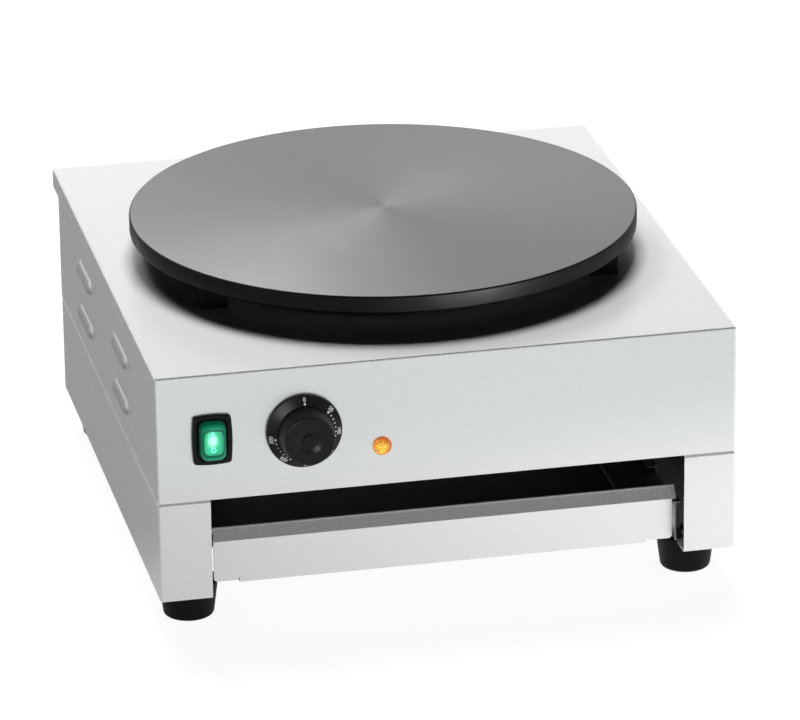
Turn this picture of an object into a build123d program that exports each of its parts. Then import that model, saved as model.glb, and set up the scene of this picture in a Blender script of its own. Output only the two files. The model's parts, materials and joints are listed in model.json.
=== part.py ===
from build123d import *
from math import cos, radians, sin
import os

os.makedirs("parts", exist_ok=True)

# Electric crepe maker: a round cast-iron hot plate on a folded stainless casing,
# with a rocker switch, a thermostat knob and a pilot lamp in front, and a drawer below.
# Millimetres. +Z is up, the front faces -Y. The origin is on the ground, in the middle
# of the whole outline, which runs from the knob's face to the rear edge of the top.

# ---------------------------------------------------------------- driving dimensions
# Casing, base and feet
casing_width = 450.0
casing_depth = 485.0
casing_height = 101.6
base_height = 80.1
foot_height = 28.0
mid_plate_sheet = 0.8
sheet = 1.0
bend_radius = 2.0
rear_overhang = 29.0
lip_height = 15.0
post_width = 40.5
flange_width = 15.0
return_width = 12.0
edge_gap = 0.5
mid_plate_setback = 2.0

# Feet
foot_top_radius = 23.0
foot_ground_radius = 19.3
foot_inset_x = 28.6
foot_inset_front = 42.0
foot_inset_rear = 36.0

# Hot plate and what holds it
plate_diameter = 400.0
plate_thickness = 14.0
plate_gap = 20.5
plate_setback = 235.0
plate_bevel = 1.5
bracket_width = 22.0
bracket_depth = 16.0
bracket_sheet = 1.5
bracket_inset = 20.0
bracket_angle = 31.0

# Heater under the plate
pan_inset = 40.0
element_radius = 3.2
element_turns = 3
element_inset = 20.0
element_pitch = 35.0
element_gap_angle = 12.0
element_bend = 8.0
leg_reach = 20.0
pin_radius = 1.6
pin_length = 12.0
insulation_thickness = 6.0
bulb_radius = 3.0
bulb_length = 60.0
capillary_radius = 1.0
seat_gap = 0.05

# Side louvers: hooded slots pressed out of the casing's sides
louver_length = 48.0
louver_height = 9.5
louver_rise = 3.5
louver_spots_y = (157.5, 324.0)
louver_spots_z = (61.5, 23.7)

# Switch, its centre measured from the casing's left side and the panel's lower edge
switch_inset = 42.6
switch_z = 49.6
bezel_width = 31.0
bezel_height = 38.0
bezel_reach = 3.4
bezel_side = 5.0
bezel_end = 3.8
recess_clearance = 0.2
recess_floor = 2.0
cover_reach = 10.0
cover_wall = 1.0
switch_body_width = 21.8
switch_body_height = 29.8
switch_body_depth = 24.0
switch_side_wall = 3.5
switch_end_wall = 2.6
cutout_clearance = 0.2
rocker_reach = 6.0
rocker_tilt = 7.0
rocker_pin_radius = 1.5
rocker_pin_length = 1.6
rocker_clearance = 0.4
rocker_end_clearance = 1.2

# Thermostat knob, its axis measured from the switch and the panel's lower edge
knob_from_switch = 70.4
knob_z = 50.1
knob_reach = 25.0
knob_skirt_radius = 29.1
knob_skirt_height = 7.5
knob_grip_radius = 21.4
knob_face_radius = 19.0
knob_standoff = 1.0
knob_wall = 2.2
dimple_radius = 10.0
dimple_depth = 2.0
knob_cap_radius = 5.0
knob_cap_height = 1.2
spindle_radius = 3.0
spindle_reach = 18.0
running_gap = 0.05

# Pilot lamp, its axis measured from the knob and the panel's lower edge
lamp_from_knob = 60.0
lamp_z = 31.4
lamp_radius = 7.2
lamp_reach = 5.0
lamp_body_radius = 5.0
lamp_body_depth = 22.0

# Drawer, fitted between the posts and above the base's floor
drawer_recess = 20.0
drawer_lift = 4.5
drawer_front_height = 45.5
drawer_side_gap = 4.5
pull_reach = 8.0
pull_drop = 9.5
pull_side_gap = 3.5
hem_inset = 20.0
hem_drop = 2.5
hem_depth = 15.0
tray_side_gap = 25.5
tray_rear_gap = 28.0
tray_lift = 5.5
tray_depth = 24.3
drawer_clearance = 0.3
flange_gap = 0.7
rail_front_gap = 2.0
rail_rear_gap = 11.0
rail_ledge = 7.2
rail_tab = 3.8
keeper_gap = 3.7
keeper_setback = 60.0

# Fasteners: small ones are M4, large ones M5
small_screw_radius = 2.0
small_hole_radius = 2.2
small_head_radius = 3.8
small_head_height = 2.0
small_nut_radius = 3.9
large_screw_radius = 2.5
large_hole_radius = 2.7
large_head_radius = 5.0
large_head_height = 3.0
large_nut_radius = 4.6
stud_radius = 3.0
stud_nut_radius = 6.4
stud_nut_height = 5.0
nut_height = 3.5
thread_end = 1.5

# Flat contact tabs of the switch, thermostat and lamp
tab_width = 6.3
tab_sheet = 0.8
tab_length = 8.0

# Mains side, measured from the casing's sides and the panel's lower edge
gland_inset = 75.0
gland_z = 45.0
gland_thread_radius = 8.0
gland_bore_radius = 4.5
gland_hex_margin = 3.5
gland_cap_margin = 1.0
gland_flange = 5.0
gland_cap_length = 14.0
gland_tail = 11.0
locknut_height = 4.5
block_setback = 60.0
block_width = 60.0
block_depth = 22.0
block_height = 18.0
earth_pitch = 60.0
earth_stud_length = 16.0
limiter_inset = 105.0
limiter_z = 55.0
limiter_width = 36.0
limiter_height = 26.0
limiter_depth = 20.0
limiter_neck_radius = 5.0
limiter_cap_radius = 9.0
limiter_cap_length = 8.0

# ------------------------------------------------------------- levels and main planes
half_width = casing_width / 2
front_y = knob_reach / 2 - casing_depth / 2
back_y = front_y + casing_depth
rear_y = back_y - rear_overhang
panel_back_y = front_y + sheet
rear_panel_y = rear_y - sheet
base_bottom = foot_height
base_top = base_bottom + base_height
casing_bottom = base_top + mid_plate_sheet
casing_top = casing_bottom + casing_height
plate_bottom = casing_top + plate_gap
plate_top = plate_bottom + plate_thickness
plate_y = front_y + plate_setback
plate_radius = plate_diameter / 2
lip_bottom = casing_top - lip_height
post_inner = half_width - post_width
inner_half = half_width - sheet
panel_half = inner_half - bend_radius

switch_x = switch_inset - half_width
knob_x = switch_x + knob_from_switch
lamp_x = knob_x + lamp_from_knob
gland_x = gland_inset - half_width
limiter_x = half_width - limiter_inset

pan_radius = plate_radius - pan_inset
element_rings = [pan_radius - element_inset - turn * element_pitch
                 for turn in range(element_turns)]
bulb_ring = element_rings[-1] + element_pitch / 2

foot_x = half_width - foot_inset_x
foot_ys = (front_y + foot_inset_front, rear_y - foot_inset_rear)
foot_spots = [(side * foot_x, y) for side in (-1, 1) for y in foot_ys]

joint_x = inner_half - 0.6 * flange_width
joint_ys = [front_y + share * (rear_y - front_y) for share in (0.11, 0.46, 0.84)]
joint_spots = [(side * joint_x, y) for side in (-1, 1) for y in joint_ys]

bracket_ring = plate_radius - bracket_inset
bracket_x = bracket_ring * cos(radians(bracket_angle))
bracket_y = bracket_ring * sin(radians(bracket_angle))
bracket_hole_y = bracket_y - bracket_sheet
bracket_hole_spots = [(side * bracket_x, plate_y + end * bracket_hole_y)
                      for side in (-1, 1) for end in (-1, 1)]


def facing_front(y):
    """A plane across the object at y whose sketches are drawn in X and Z, facing the front."""
    return Plane.XZ.offset(-y)


def turning_plane(x, z):
    """A plane through a control's axis: radius along X, height out of the front panel."""
    return Plane(origin=(x, front_y, z), x_dir=(1, 0, 0), z_dir=(0, 0, -1))


def block(x_range, y_range, z_range, mode=Mode.ADD):
    """A box between two limits on each axis, in either order."""
    ranges = (x_range, y_range, z_range)
    with Locations(tuple(sum(limits) / 2 for limits in ranges)):
        Box(*(abs(limits[1] - limits[0]) for limits in ranges), mode=mode)


def headed_pins(plane, spots, head_radius, head_height, shank_radius, shank_length):
    """Screws or rivets on a plane: signed lengths say which side head and shank are on."""
    with BuildPart() as pins:
        with BuildSketch(plane):
            with Locations(*spots):
                Circle(head_radius)
        extrude(amount=head_height)
        with BuildSketch(plane):
            with Locations(*spots):
                Circle(shank_radius)
        extrude(amount=shank_length)
    return pins.part


def hex_nuts(plane, spots, corner_radius, height, bore_radius):
    """Hexagon nuts standing on a plane."""
    with BuildPart() as nuts:
        with BuildSketch(plane):
            with Locations(*spots):
                RegularPolygon(corner_radius, 6)
                Circle(bore_radius, mode=Mode.SUBTRACT)
        extrude(amount=height)
    return nuts.part


def tube(points, bend, radius):
    """A round tube or wire along straight runs joined by tangent arcs."""
    with BuildPart() as pipe:
        with BuildLine() as route:
            FilletPolyline(*points, radius=bend)
        with BuildSketch(Plane(origin=route.line @ 0, z_dir=route.line % 0)):
            Circle(radius)
        sweep(path=route.line)
    return pipe.part


def write(piece, name):
    """Label a finished piece and write its file."""
    piece.label = name
    export_step(piece, f"parts/{name}.step")


# ------------------------------------------------------------------------ folded base
def base_side(side):
    """One side of the base: a channel with the post in front and a return behind."""
    with BuildPart() as channel:
        block((side * post_inner, side * half_width), (front_y, rear_y), (base_bottom, base_top))
        outer_face = channel.faces().sort_by(Axis.X)[-1 if side > 0 else 0]
        cross_edges = channel.edges().filter_by(Axis.X)
        fillet(outer_face.edges() + cross_edges, bend_radius)
        inner_face = channel.faces().filter_by(Axis.X).sort_by(Axis.X)[0 if side > 0 else -1]
        offset(amount=-sheet, openings=inner_face)
        with BuildSketch(Plane.XY.offset(base_bottom)):
            with Locations(*[(side * foot_x, y) for y in foot_ys]):
                Circle(large_hole_radius)
        extrude(amount=sheet, mode=Mode.SUBTRACT)
        with BuildSketch(Plane.XY.offset(base_top - sheet)):
            with Locations(*[(side * joint_x, y) for y in joint_ys]):
                Circle(small_hole_radius)
        extrude(amount=sheet, mode=Mode.SUBTRACT)
        with BuildSketch(facing_front(rear_y)):
            with Locations(*[(side * base_screw_x, z) for z in base_screw_zs]):
                Circle(small_hole_radius)
        extrude(amount=sheet, mode=Mode.SUBTRACT)
    return channel.part


base_screw_x = half_width - post_width / 2
base_screw_zs = (base_bottom + 0.2 * base_height, base_top - 0.2 * base_height)
base_screw_spots = [(side * base_screw_x, z) for side in (-1, 1) for z in base_screw_zs]

write(base_side(-1), "base_side_left")
write(base_side(1), "base_side_right")

# Panel that closes the base behind, inside the sides' rear returns
with BuildPart() as base_rear_panel:
    block((-panel_half, panel_half), (rear_panel_y - sheet, rear_panel_y),
          (base_bottom + bend_radius, base_top - bend_radius))
    block((edge_gap - post_inner, post_inner - edge_gap),
          (rear_panel_y - flange_width, rear_panel_y), (base_top - sheet, base_top))
    block((edge_gap - post_inner, post_inner - edge_gap),
          (rear_panel_y - sheet, rear_panel_y), (base_top - bend_radius, base_top))
    with BuildSketch(facing_front(rear_panel_y)):
        with Locations(*base_screw_spots):
            Circle(small_screw_radius)
    extrude(amount=sheet, mode=Mode.SUBTRACT)
write(base_rear_panel.part, "base_rear_panel")

# Plate between base and casing: it carries the wiring and shields the drawer
slot_length = 30.0
slot_width = 3.0
with BuildPart() as mid_plate:
    block((-panel_half, panel_half), (front_y + mid_plate_setback, rear_panel_y),
          (base_top, casing_bottom))
    with BuildSketch(Plane.XY.offset(base_top)):
        with Locations(*joint_spots):
            Circle(small_hole_radius)
        with GridLocations(2.5 * slot_length, 5 * slot_width, 2, 5):
            SlotOverall(slot_length, slot_width)
    extrude(amount=mid_plate_sheet, mode=Mode.SUBTRACT)
write(mid_plate.part, "mid_plate")

# Feet, with the screw's head sunk in from below
counterbore_radius = 7.0
counterbore_depth = 15.0
foot_edge = 3.0
for end, foot_y in zip(("front", "rear"), foot_ys):
    for hand, side in (("left", -1), ("right", 1)):
        with BuildPart() as foot:
            with Locations((side * foot_x, foot_y, foot_height / 2)):
                Cone(foot_ground_radius, foot_top_radius, foot_height)
            fillet(foot.edges().sort_by(Axis.Z)[0], foot_edge)
            with Locations(Location((side * foot_x, foot_y, 0), (180, 0, 0))):
                CounterBoreHole(large_hole_radius, counterbore_radius, counterbore_depth)
        write(foot.part, f"foot_{end}_{hand}")

foot_grip = foot_height - counterbore_depth + sheet
write(headed_pins(Plane.XY.offset(counterbore_depth), foot_spots, large_head_radius,
                  -large_head_height, large_screw_radius, foot_grip + nut_height + thread_end),
      "foot_screws")
write(hex_nuts(Plane.XY.offset(base_bottom + sheet), foot_spots, large_nut_radius, nut_height,
               large_screw_radius), "foot_nuts")

# ----------------------------------------------------------------------- drawer rails
drawer_front_bottom = base_bottom + drawer_lift
drawer_front_top = drawer_front_bottom + drawer_front_height
drawer_front_width = 2 * (post_inner - drawer_side_gap)
drawer_face_y = front_y + drawer_recess
tray_floor = drawer_front_bottom + tray_lift
tray_rim = tray_floor + tray_depth
tray_half = post_inner - tray_side_gap
tray_y = (drawer_face_y + sheet, rear_panel_y - sheet - tray_rear_gap)

rail_x = post_inner - drawer_clearance - sheet
rail_foot_x = foot_x - large_nut_radius - edge_gap
rail_top = tray_rim - sheet - drawer_clearance
rail_front_y = drawer_face_y + sheet + rail_front_gap
rail_rear_y = rear_panel_y - sheet - rail_rear_gap
keeper_z = tray_rim + keeper_gap


def drawer_rail(side):
    """A folded rail: foot, web, ledge for the drawer's flange, and a keeper above it."""
    web = (side * rail_x, side * (rail_x + sheet))
    inner = (side * (rail_x - rail_ledge), side * rail_x)
    whole = (rail_front_y, rail_rear_y)
    kept = (rail_front_y + keeper_setback, rail_rear_y)
    with BuildPart() as rail:
        block(web, whole, (base_bottom + sheet, rail_top))
        block((web[1], side * rail_foot_x), whole,
              (base_bottom + sheet, base_bottom + 2 * sheet))
        block(inner, whole, (rail_top - sheet, rail_top))
        block((web[1], web[1] + side * rail_tab), (rail_front_y, rail_front_y + 5 * rail_tab),
              (rail_top - sheet, rail_top))
        block(web, kept, (rail_top, keeper_z + sheet))
        block(inner, kept, (keeper_z, keeper_z + sheet))
    return rail.part


write(drawer_rail(-1), "drawer_rail_left")
write(drawer_rail(1), "drawer_rail_right")

# ----------------------------------------------------------------------------- drawer
with BuildPart() as drawer_tray:
    block((-tray_half, tray_half), tray_y, (tray_floor, tray_rim))
    tray_base = drawer_tray.faces().sort_by(Axis.Z)[0]
    fillet(tray_base.edges().filter_by(Axis.Y), bend_radius + sheet)
    offset(amount=-sheet, openings=drawer_tray.faces().sort_by(Axis.Z)[-1])
    for side in (-1, 1):
        block((side * (tray_half - sheet), side * (rail_x - flange_gap)), tray_y,
              (tray_rim - sheet, tray_rim))
write(drawer_tray.part, "drawer_tray")

# Front of the drawer: a plain face, a pull folded forwards and down along its top edge,
# and a hem folded back along its bottom edge between two relief notches
front_corner = 3.0
notch = 1.5
pull_bend = 1.2
face_top = drawer_front_top - 3 * pull_bend
pull_width = 2 * (post_inner - pull_side_gap)
hem_width = drawer_front_width - 2 * hem_inset
hem_bottom = drawer_front_bottom - hem_drop
with BuildPart() as drawer_front:
    with BuildSketch(facing_front(drawer_face_y)) as face_outline:
        with Locations((0, (drawer_front_bottom + face_top) / 2)):
            Rectangle(drawer_front_width, face_top - drawer_front_bottom)
        fillet(face_outline.vertices().group_by(Axis.Y)[0], front_corner)
    extrude(amount=-sheet)
    with BuildSketch(Plane.YZ.offset(-hem_width / 2)):
        with BuildLine():
            hem_path = FilletPolyline(
                (drawer_face_y, drawer_front_bottom + front_corner),
                (drawer_face_y, hem_bottom),
                (drawer_face_y + hem_depth, hem_bottom),
                radius=bend_radius)
            offset(hem_path, amount=sheet, side=Side.LEFT)
        make_face()
    extrude(amount=hem_width)
    for side in (-1, 1):
        block((side * hem_width / 2, side * (hem_width / 2 + notch)),
              (drawer_face_y, drawer_face_y + sheet),
              (drawer_front_bottom, drawer_front_bottom + notch), mode=Mode.SUBTRACT)
    with BuildSketch(Plane.YZ.offset(-pull_width / 2)):
        with BuildLine():
            pull_path = FilletPolyline(
                (drawer_face_y, face_top - pull_bend),
                (drawer_face_y, drawer_front_top + pull_bend),
                (drawer_face_y - pull_reach, drawer_front_top - pull_drop),
                radius=pull_bend)
            offset(pull_path, amount=sheet, side=Side.RIGHT)
        make_face()
    extrude(amount=pull_width)
write(drawer_front.part, "drawer_front")


# ----------------------------------------------------------------------- upper casing
def louver_form(radius, axis_depth):
    """Upper half of a round-ended bar, as far as it stands out past a depth from its axis."""
    middle = louver_length / 2
    with BuildPart() as form:
        with BuildSketch():
            with BuildLine():
                Line((radius, -middle), (radius, middle))
                CenterArc((0, middle), radius, 0, 90)
                Line((0, middle + radius), (0, -middle - radius))
                CenterArc((0, -middle), radius, -90, 90)
            make_face()
        revolve(axis=Axis.Y)
        split(bisect_by=Plane.XY, keep=Keep.TOP)
        split(bisect_by=Plane.YZ.offset(axis_depth), keep=Keep.TOP)
    return form.part


louver_radius = (louver_height ** 2 + louver_rise ** 2) / (2 * louver_rise)
louver_axis_depth = louver_radius - louver_rise
louver_hood = louver_form(louver_radius, louver_axis_depth - sheet)
louver_hollow = louver_form(louver_radius - sheet, louver_axis_depth - 2 * sheet)
louver_places = [
    Location((side * (half_width - louver_axis_depth), front_y + y, casing_bottom + z),
             (0, 0, 0 if side > 0 else 180))
    for side in (-1, 1) for y in louver_spots_y for z in louver_spots_z]

leg_angle = radians(element_gap_angle)
leg_start = Vector(element_rings[0] * cos(leg_angle), element_rings[0] * sin(leg_angle))
leg_start_run = Vector(-sin(leg_angle), cos(leg_angle))
leg_end = Vector(element_rings[-1] * cos(leg_angle), -element_rings[-1] * sin(leg_angle))
leg_end_run = Vector(sin(leg_angle), cos(leg_angle))
plate_centre = Vector(0, plate_y)
leg_spots = [plate_centre + leg_start - leg_start_run * element_bend,
             plate_centre + leg_end + leg_end_run * element_bend]
leg_spots = [(spot.X, spot.Y) for spot in leg_spots]
leg_bush_radius = 6.0
bulb_end = (-bulb_length / 2, plate_y + bulb_ring)
capillary_spot = (bulb_end[0] - 4 * bulb_radius - capillary_radius, bulb_end[1])
capillary_hole_radius = 4.0

thermostat_screw_pitch = 28.0
thermostat_z = casing_bottom + knob_z
thermostat_screw_spots = [(knob_x + share * thermostat_screw_pitch, thermostat_z)
                          for share in (-0.5, 0.5)]
spindle_hole_radius = 5.0
switch_centre = (switch_x, casing_bottom + switch_z)
lamp_centre = (lamp_x, casing_bottom + lamp_z)
rear_screw_x = inner_half - return_width / 2
rear_screw_zs = [casing_bottom + share * (lip_bottom - casing_bottom)
                 for share in (0.1, 0.5, 0.9)]
rear_screw_spots = [(side * rear_screw_x, z) for side in (-1, 1) for z in rear_screw_zs]

with BuildPart() as upper_casing:
    block((-half_width, half_width), (front_y, back_y), (casing_bottom, casing_top))
    top_face = upper_casing.faces().sort_by(Axis.Z)[-1]
    fillet(top_face.edges() + upper_casing.edges().filter_by(Axis.Z), bend_radius)
    offset(amount=-sheet, openings=upper_casing.faces().sort_by(Axis.Z)[0])
    block((-half_width, half_width), (rear_y, back_y), (casing_bottom, lip_bottom),
          mode=Mode.SUBTRACT)
    for side in (-1, 1):
        block((side * (inner_half - return_width), side * inner_half), (rear_y - sheet, rear_y),
              (casing_bottom + sheet, lip_bottom))
        block((side * (inner_half - flange_width), side * inner_half),
              (panel_back_y, rear_panel_y - sheet - edge_gap),
              (casing_bottom, casing_bottom + sheet))
    block((flange_width - inner_half, inner_half - flange_width),
          (panel_back_y, panel_back_y + flange_width), (casing_bottom, casing_bottom + sheet))
    for place in louver_places:
        with Locations(place):
            add(louver_hood)
    for place in louver_places:
        with Locations(place):
            add(louver_hollow, mode=Mode.SUBTRACT)
    with BuildSketch(facing_front(front_y)):
        with Locations(switch_centre):
            Rectangle(switch_body_width + 2 * cutout_clearance,
                      switch_body_height + 2 * cutout_clearance)
        with Locations((knob_x, thermostat_z)):
            Circle(spindle_hole_radius)
        with Locations(*thermostat_screw_spots):
            Circle(small_hole_radius)
        with Locations(lamp_centre):
            Circle(lamp_body_radius + running_gap)
    extrude(amount=-sheet, mode=Mode.SUBTRACT)
    with BuildSketch(Plane.XY.offset(casing_top)):
        with Locations(*leg_spots):
            Circle(leg_bush_radius)
        with Locations(capillary_spot):
            Circle(capillary_hole_radius)
        with Locations(*bracket_hole_spots):
            Circle(small_screw_radius)
    extrude(amount=-sheet, mode=Mode.SUBTRACT)
    with BuildSketch(Plane.XY.offset(casing_bottom)):
        with Locations(*joint_spots):
            Circle(small_hole_radius)
    extrude(amount=sheet, mode=Mode.SUBTRACT)
    with BuildSketch(facing_front(rear_y)):
        with Locations(*rear_screw_spots):
            Circle(small_hole_radius)
    extrude(amount=sheet, mode=Mode.SUBTRACT)
write(upper_casing.part, "upper_casing")

# Bolts and nuts that clamp base flange, mid plate and casing flange together
bolt_grip = 2 * sheet + mid_plate_sheet
write(headed_pins(Plane.XY.offset(base_top - sheet), joint_spots, small_head_radius,
                  -small_head_height, small_screw_radius, bolt_grip + nut_height + thread_end),
      "casing_bolts")
write(hex_nuts(Plane.XY.offset(casing_bottom + sheet), joint_spots, small_nut_radius, nut_height,
               small_screw_radius), "casing_nuts")

# Rear panel of the casing, with air slots, the gland's hole and the limiter's hole
gland_centre = (gland_x, casing_bottom + gland_z)
limiter_centre = (limiter_x, casing_bottom + limiter_z)
with BuildPart() as rear_panel:
    block((-panel_half, panel_half), (rear_panel_y - sheet, rear_panel_y),
          (casing_bottom, casing_top - sheet))
    block((-panel_half + flange_width, panel_half - flange_width),
          (rear_panel_y - flange_width, rear_panel_y), (casing_top - 2 * sheet, casing_top - sheet))
    with BuildSketch(facing_front(rear_panel_y)):
        with Locations((0, casing_bottom + casing_height / 2)):
            with GridLocations(1.4 * slot_length, 3 * slot_width, 3, 6):
                SlotOverall(slot_length, slot_width)
        with Locations(gland_centre):
            Circle(gland_thread_radius + running_gap)
        with Locations(limiter_centre):
            Circle(limiter_neck_radius + running_gap)
        with Locations(*rear_screw_spots):
            Circle(small_screw_radius)
    extrude(amount=sheet, mode=Mode.SUBTRACT)
write(rear_panel.part, "rear_panel")

# Screws from behind into the rear panels, through the sides' returns
write(headed_pins(facing_front(rear_y), rear_screw_spots + base_screw_spots, small_head_radius,
                  -small_head_height, small_screw_radius, 2 * sheet + 2 * thread_end),
      "rear_screws")

# -------------------------------------------------------------- hot plate and brackets
thread_depth = 8.0
with BuildPart() as hot_plate:
    with Locations((0, plate_y, (plate_bottom + plate_top) / 2)):
        Cylinder(plate_radius, plate_thickness)
    chamfer(hot_plate.edges().sort_by(Axis.Z)[-1], plate_bevel)
    fillet(hot_plate.edges().sort_by(Axis.Z)[0], plate_bevel)
    with BuildSketch(Plane.XY.offset(plate_bottom)):
        with Locations((0, plate_y)):
            Circle(stud_radius)
        with Locations(*bracket_hole_spots):
            Circle(large_screw_radius)
    extrude(amount=thread_depth, mode=Mode.SUBTRACT)
write(hot_plate.part, "hot_plate")

for side, end in ((-1, -1), (1, -1), (-1, 1), (1, 1)):
    centre_x = side * bracket_x
    outer_y = plate_y + end * (bracket_y + bracket_depth / 2)
    sides_x = (centre_x - bracket_width / 2, centre_x + bracket_width / 2)
    depth_y = (outer_y, outer_y - end * bracket_depth)
    with BuildPart() as plate_bracket:
        block(sides_x, (outer_y, outer_y - end * bracket_sheet), (casing_top, plate_bottom))
        block(sides_x, depth_y, (casing_top, casing_top + bracket_sheet))
        block(sides_x, depth_y, (plate_bottom - bracket_sheet, plate_bottom))
        with BuildSketch(Plane.XY.offset(casing_top)):
            with Locations((centre_x, plate_y + end * bracket_hole_y)):
                Circle(small_screw_radius)
        extrude(amount=bracket_sheet, mode=Mode.SUBTRACT)
        with BuildSketch(Plane.XY.offset(plate_bottom)):
            with Locations((centre_x, plate_y + end * bracket_hole_y)):
                Circle(large_hole_radius)
        extrude(amount=-bracket_sheet, mode=Mode.SUBTRACT)
    hand = "left" if side < 0 else "right"
    write(plate_bracket.part, f"plate_bracket_{'front' if end < 0 else 'rear'}_{hand}")

write(headed_pins(Plane.XY.offset(plate_bottom - bracket_sheet), bracket_hole_spots,
                  large_head_radius, -large_head_height, large_screw_radius,
                  bracket_sheet + thread_depth - 1), "plate_screws")
write(headed_pins(Plane.XY.offset(casing_top + bracket_sheet), bracket_hole_spots,
                  small_head_radius, small_head_height, small_screw_radius,
                  -bracket_sheet - sheet - thread_end), "bracket_rivets")

# ----------------------------------------------------------------------------- heater
element_z = plate_bottom - element_radius - seat_gap
insulation_top = element_z - element_radius - seat_gap
pan_floor_top = insulation_top - insulation_thickness
pan_bottom = pan_floor_top - sheet
leg_bottom = casing_top - leg_reach
pass_radius = element_radius + 0.8


def ring_point(radius, angle):
    """A point of a heater ring, from the plate's centre, angle in degrees from +X."""
    return Vector(radius * cos(radians(angle)), radius * sin(radians(angle)) + plate_y, element_z)


def leg_bend(ring_end, outward):
    """The foot and middle of the quarter bend between a ring's end and its vertical leg."""
    centre = ring_end - Vector(0, 0, element_bend)
    foot_point = centre + outward * element_bend
    middle = centre + (outward + Vector(0, 0, 1)).normalized() * element_bend
    return foot_point, middle


with BuildPart() as heating_element:
    with BuildLine() as element_path:
        first = ring_point(element_rings[0], element_gap_angle)
        first_foot, first_middle = leg_bend(first, -leg_start_run)
        Line(Vector(first_foot.X, first_foot.Y, leg_bottom), first_foot)
        ThreePointArc(first_foot, first_middle, first)
        turn_ends = (360 - element_gap_angle, element_gap_angle)
        for index, radius in enumerate(element_rings):
            start_angle, end_angle = turn_ends[::-1] if index % 2 == 0 else turn_ends
            end_point = ring_point(radius, end_angle)
            ThreePointArc(ring_point(radius, start_angle), ring_point(radius, 180), end_point)
            if index + 1 < len(element_rings):
                next_radius = element_rings[index + 1]
                turn = (radius - next_radius) / 2
                heading = 1 if index % 2 == 0 else -1
                middle_point = ring_point(radius - turn, end_angle)
                run = Vector(-sin(radians(end_angle)), cos(radians(end_angle)))
                ThreePointArc(end_point, middle_point + run * heading * turn,
                              ring_point(next_radius, end_angle))
        last = ring_point(element_rings[-1], 360 - element_gap_angle)
        last_foot, last_middle = leg_bend(last, leg_end_run)
        ThreePointArc(last, last_middle, last_foot)
        Line(last_foot, Vector(last_foot.X, last_foot.Y, leg_bottom))
    with BuildSketch(Plane(origin=element_path.line @ 0, z_dir=element_path.line % 0)):
        Circle(element_radius)
    sweep(path=element_path.line)
write(heating_element.part, "heating_element")

with BuildPart() as element_pins:
    with BuildSketch(Plane.XY.offset(leg_bottom)):
        with Locations(*leg_spots):
            Circle(pin_radius)
    extrude(amount=-pin_length)
write(element_pins.part, "element_pins")

bush_flange = 2.0
bush_margin = 3.0
with BuildPart() as leg_bushes:
    with BuildSketch(Plane.XY.offset(casing_top)):
        with Locations(*leg_spots):
            Circle(leg_bush_radius + bush_margin)
            Circle(element_radius + 2 * seat_gap, mode=Mode.SUBTRACT)
    extrude(amount=bush_flange)
    with BuildSketch(Plane.XY.offset(casing_top)):
        with Locations(*leg_spots):
            Circle(leg_bush_radius)
            Circle(element_radius + 2 * seat_gap, mode=Mode.SUBTRACT)
    extrude(amount=-3 * bush_flange)
write(leg_bushes.part, "leg_bushes")

with BuildPart() as insulation_disc:
    with BuildSketch(Plane.XY.offset(pan_floor_top)):
        with Locations((0, plate_y)):
            Circle(pan_radius - bend_radius - edge_gap)
            Circle(stud_radius + edge_gap, mode=Mode.SUBTRACT)
        with Locations(capillary_spot):
            Circle(pass_radius, mode=Mode.SUBTRACT)
        for leg_spot, run, tilt in zip(leg_spots, (leg_start_run, -leg_end_run), (1, -1)):
            slot_middle = Vector(*leg_spot) + run * element_bend / 2
            with Locations((slot_middle.X, slot_middle.Y)):
                SlotCenterToCenter(element_bend, 2 * pass_radius, mode=Mode.SUBTRACT,
                                   rotation=90 + tilt * element_gap_angle)
    extrude(amount=insulation_thickness)
write(insulation_disc.part, "insulation_disc")

with BuildPart() as heater_pan:
    with BuildSketch(Plane.XY.offset(pan_bottom)):
        with Locations((0, plate_y)):
            Circle(pan_radius)
    extrude(amount=plate_bottom - edge_gap - pan_bottom)
    pan_base = heater_pan.edges().sort_by(Axis.Z)[0]
    fillet(pan_base, bend_radius)
    offset(amount=-sheet, openings=heater_pan.faces().sort_by(Axis.Z)[-1])
    with BuildSketch(Plane.XY.offset(pan_bottom)):
        with Locations((0, plate_y)):
            Circle(stud_radius + edge_gap)
        with Locations(*leg_spots, capillary_spot):
            Circle(pass_radius)
    extrude(amount=sheet, mode=Mode.SUBTRACT)
write(heater_pan.part, "heater_pan")

stud_bottom = pan_bottom - stud_nut_height - thread_end
with BuildPart() as centre_stud:
    with BuildSketch(Plane.XY.offset(stud_bottom)):
        with Locations((0, plate_y)):
            Circle(stud_radius)
    extrude(amount=plate_bottom + thread_depth - stud_bottom)
write(centre_stud.part, "centre_stud")
write(hex_nuts(Plane.XY.offset(pan_bottom - stud_nut_height), [(0, plate_y)], stud_nut_radius,
               stud_nut_height, stud_radius), "centre_nut")

# ------------------------------------------------------------------------- thermostat
thermostat_width = 38.0
thermostat_height = 46.0
thermostat_depth = 22.0
spindle_depth = 14.0
thermostat_rear_y = panel_back_y + thermostat_depth
screw_bite = 6.0
with BuildPart() as thermostat_body:
    with BuildSketch(facing_front(panel_back_y)) as thermostat_outline:
        with Locations((knob_x, thermostat_z)):
            Rectangle(thermostat_width, thermostat_height)
        fillet(thermostat_outline.vertices(), bend_radius)
    extrude(amount=-thermostat_depth)
    with BuildSketch(facing_front(panel_back_y)):
        with Locations((knob_x, thermostat_z)):
            Circle(spindle_radius + running_gap)
    extrude(amount=-spindle_depth, mode=Mode.SUBTRACT)
    with BuildSketch(facing_front(panel_back_y)):
        with Locations(*thermostat_screw_spots):
            Circle(small_screw_radius)
    extrude(amount=-screw_bite, mode=Mode.SUBTRACT)
write(thermostat_body.part, "thermostat_body")

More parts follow.
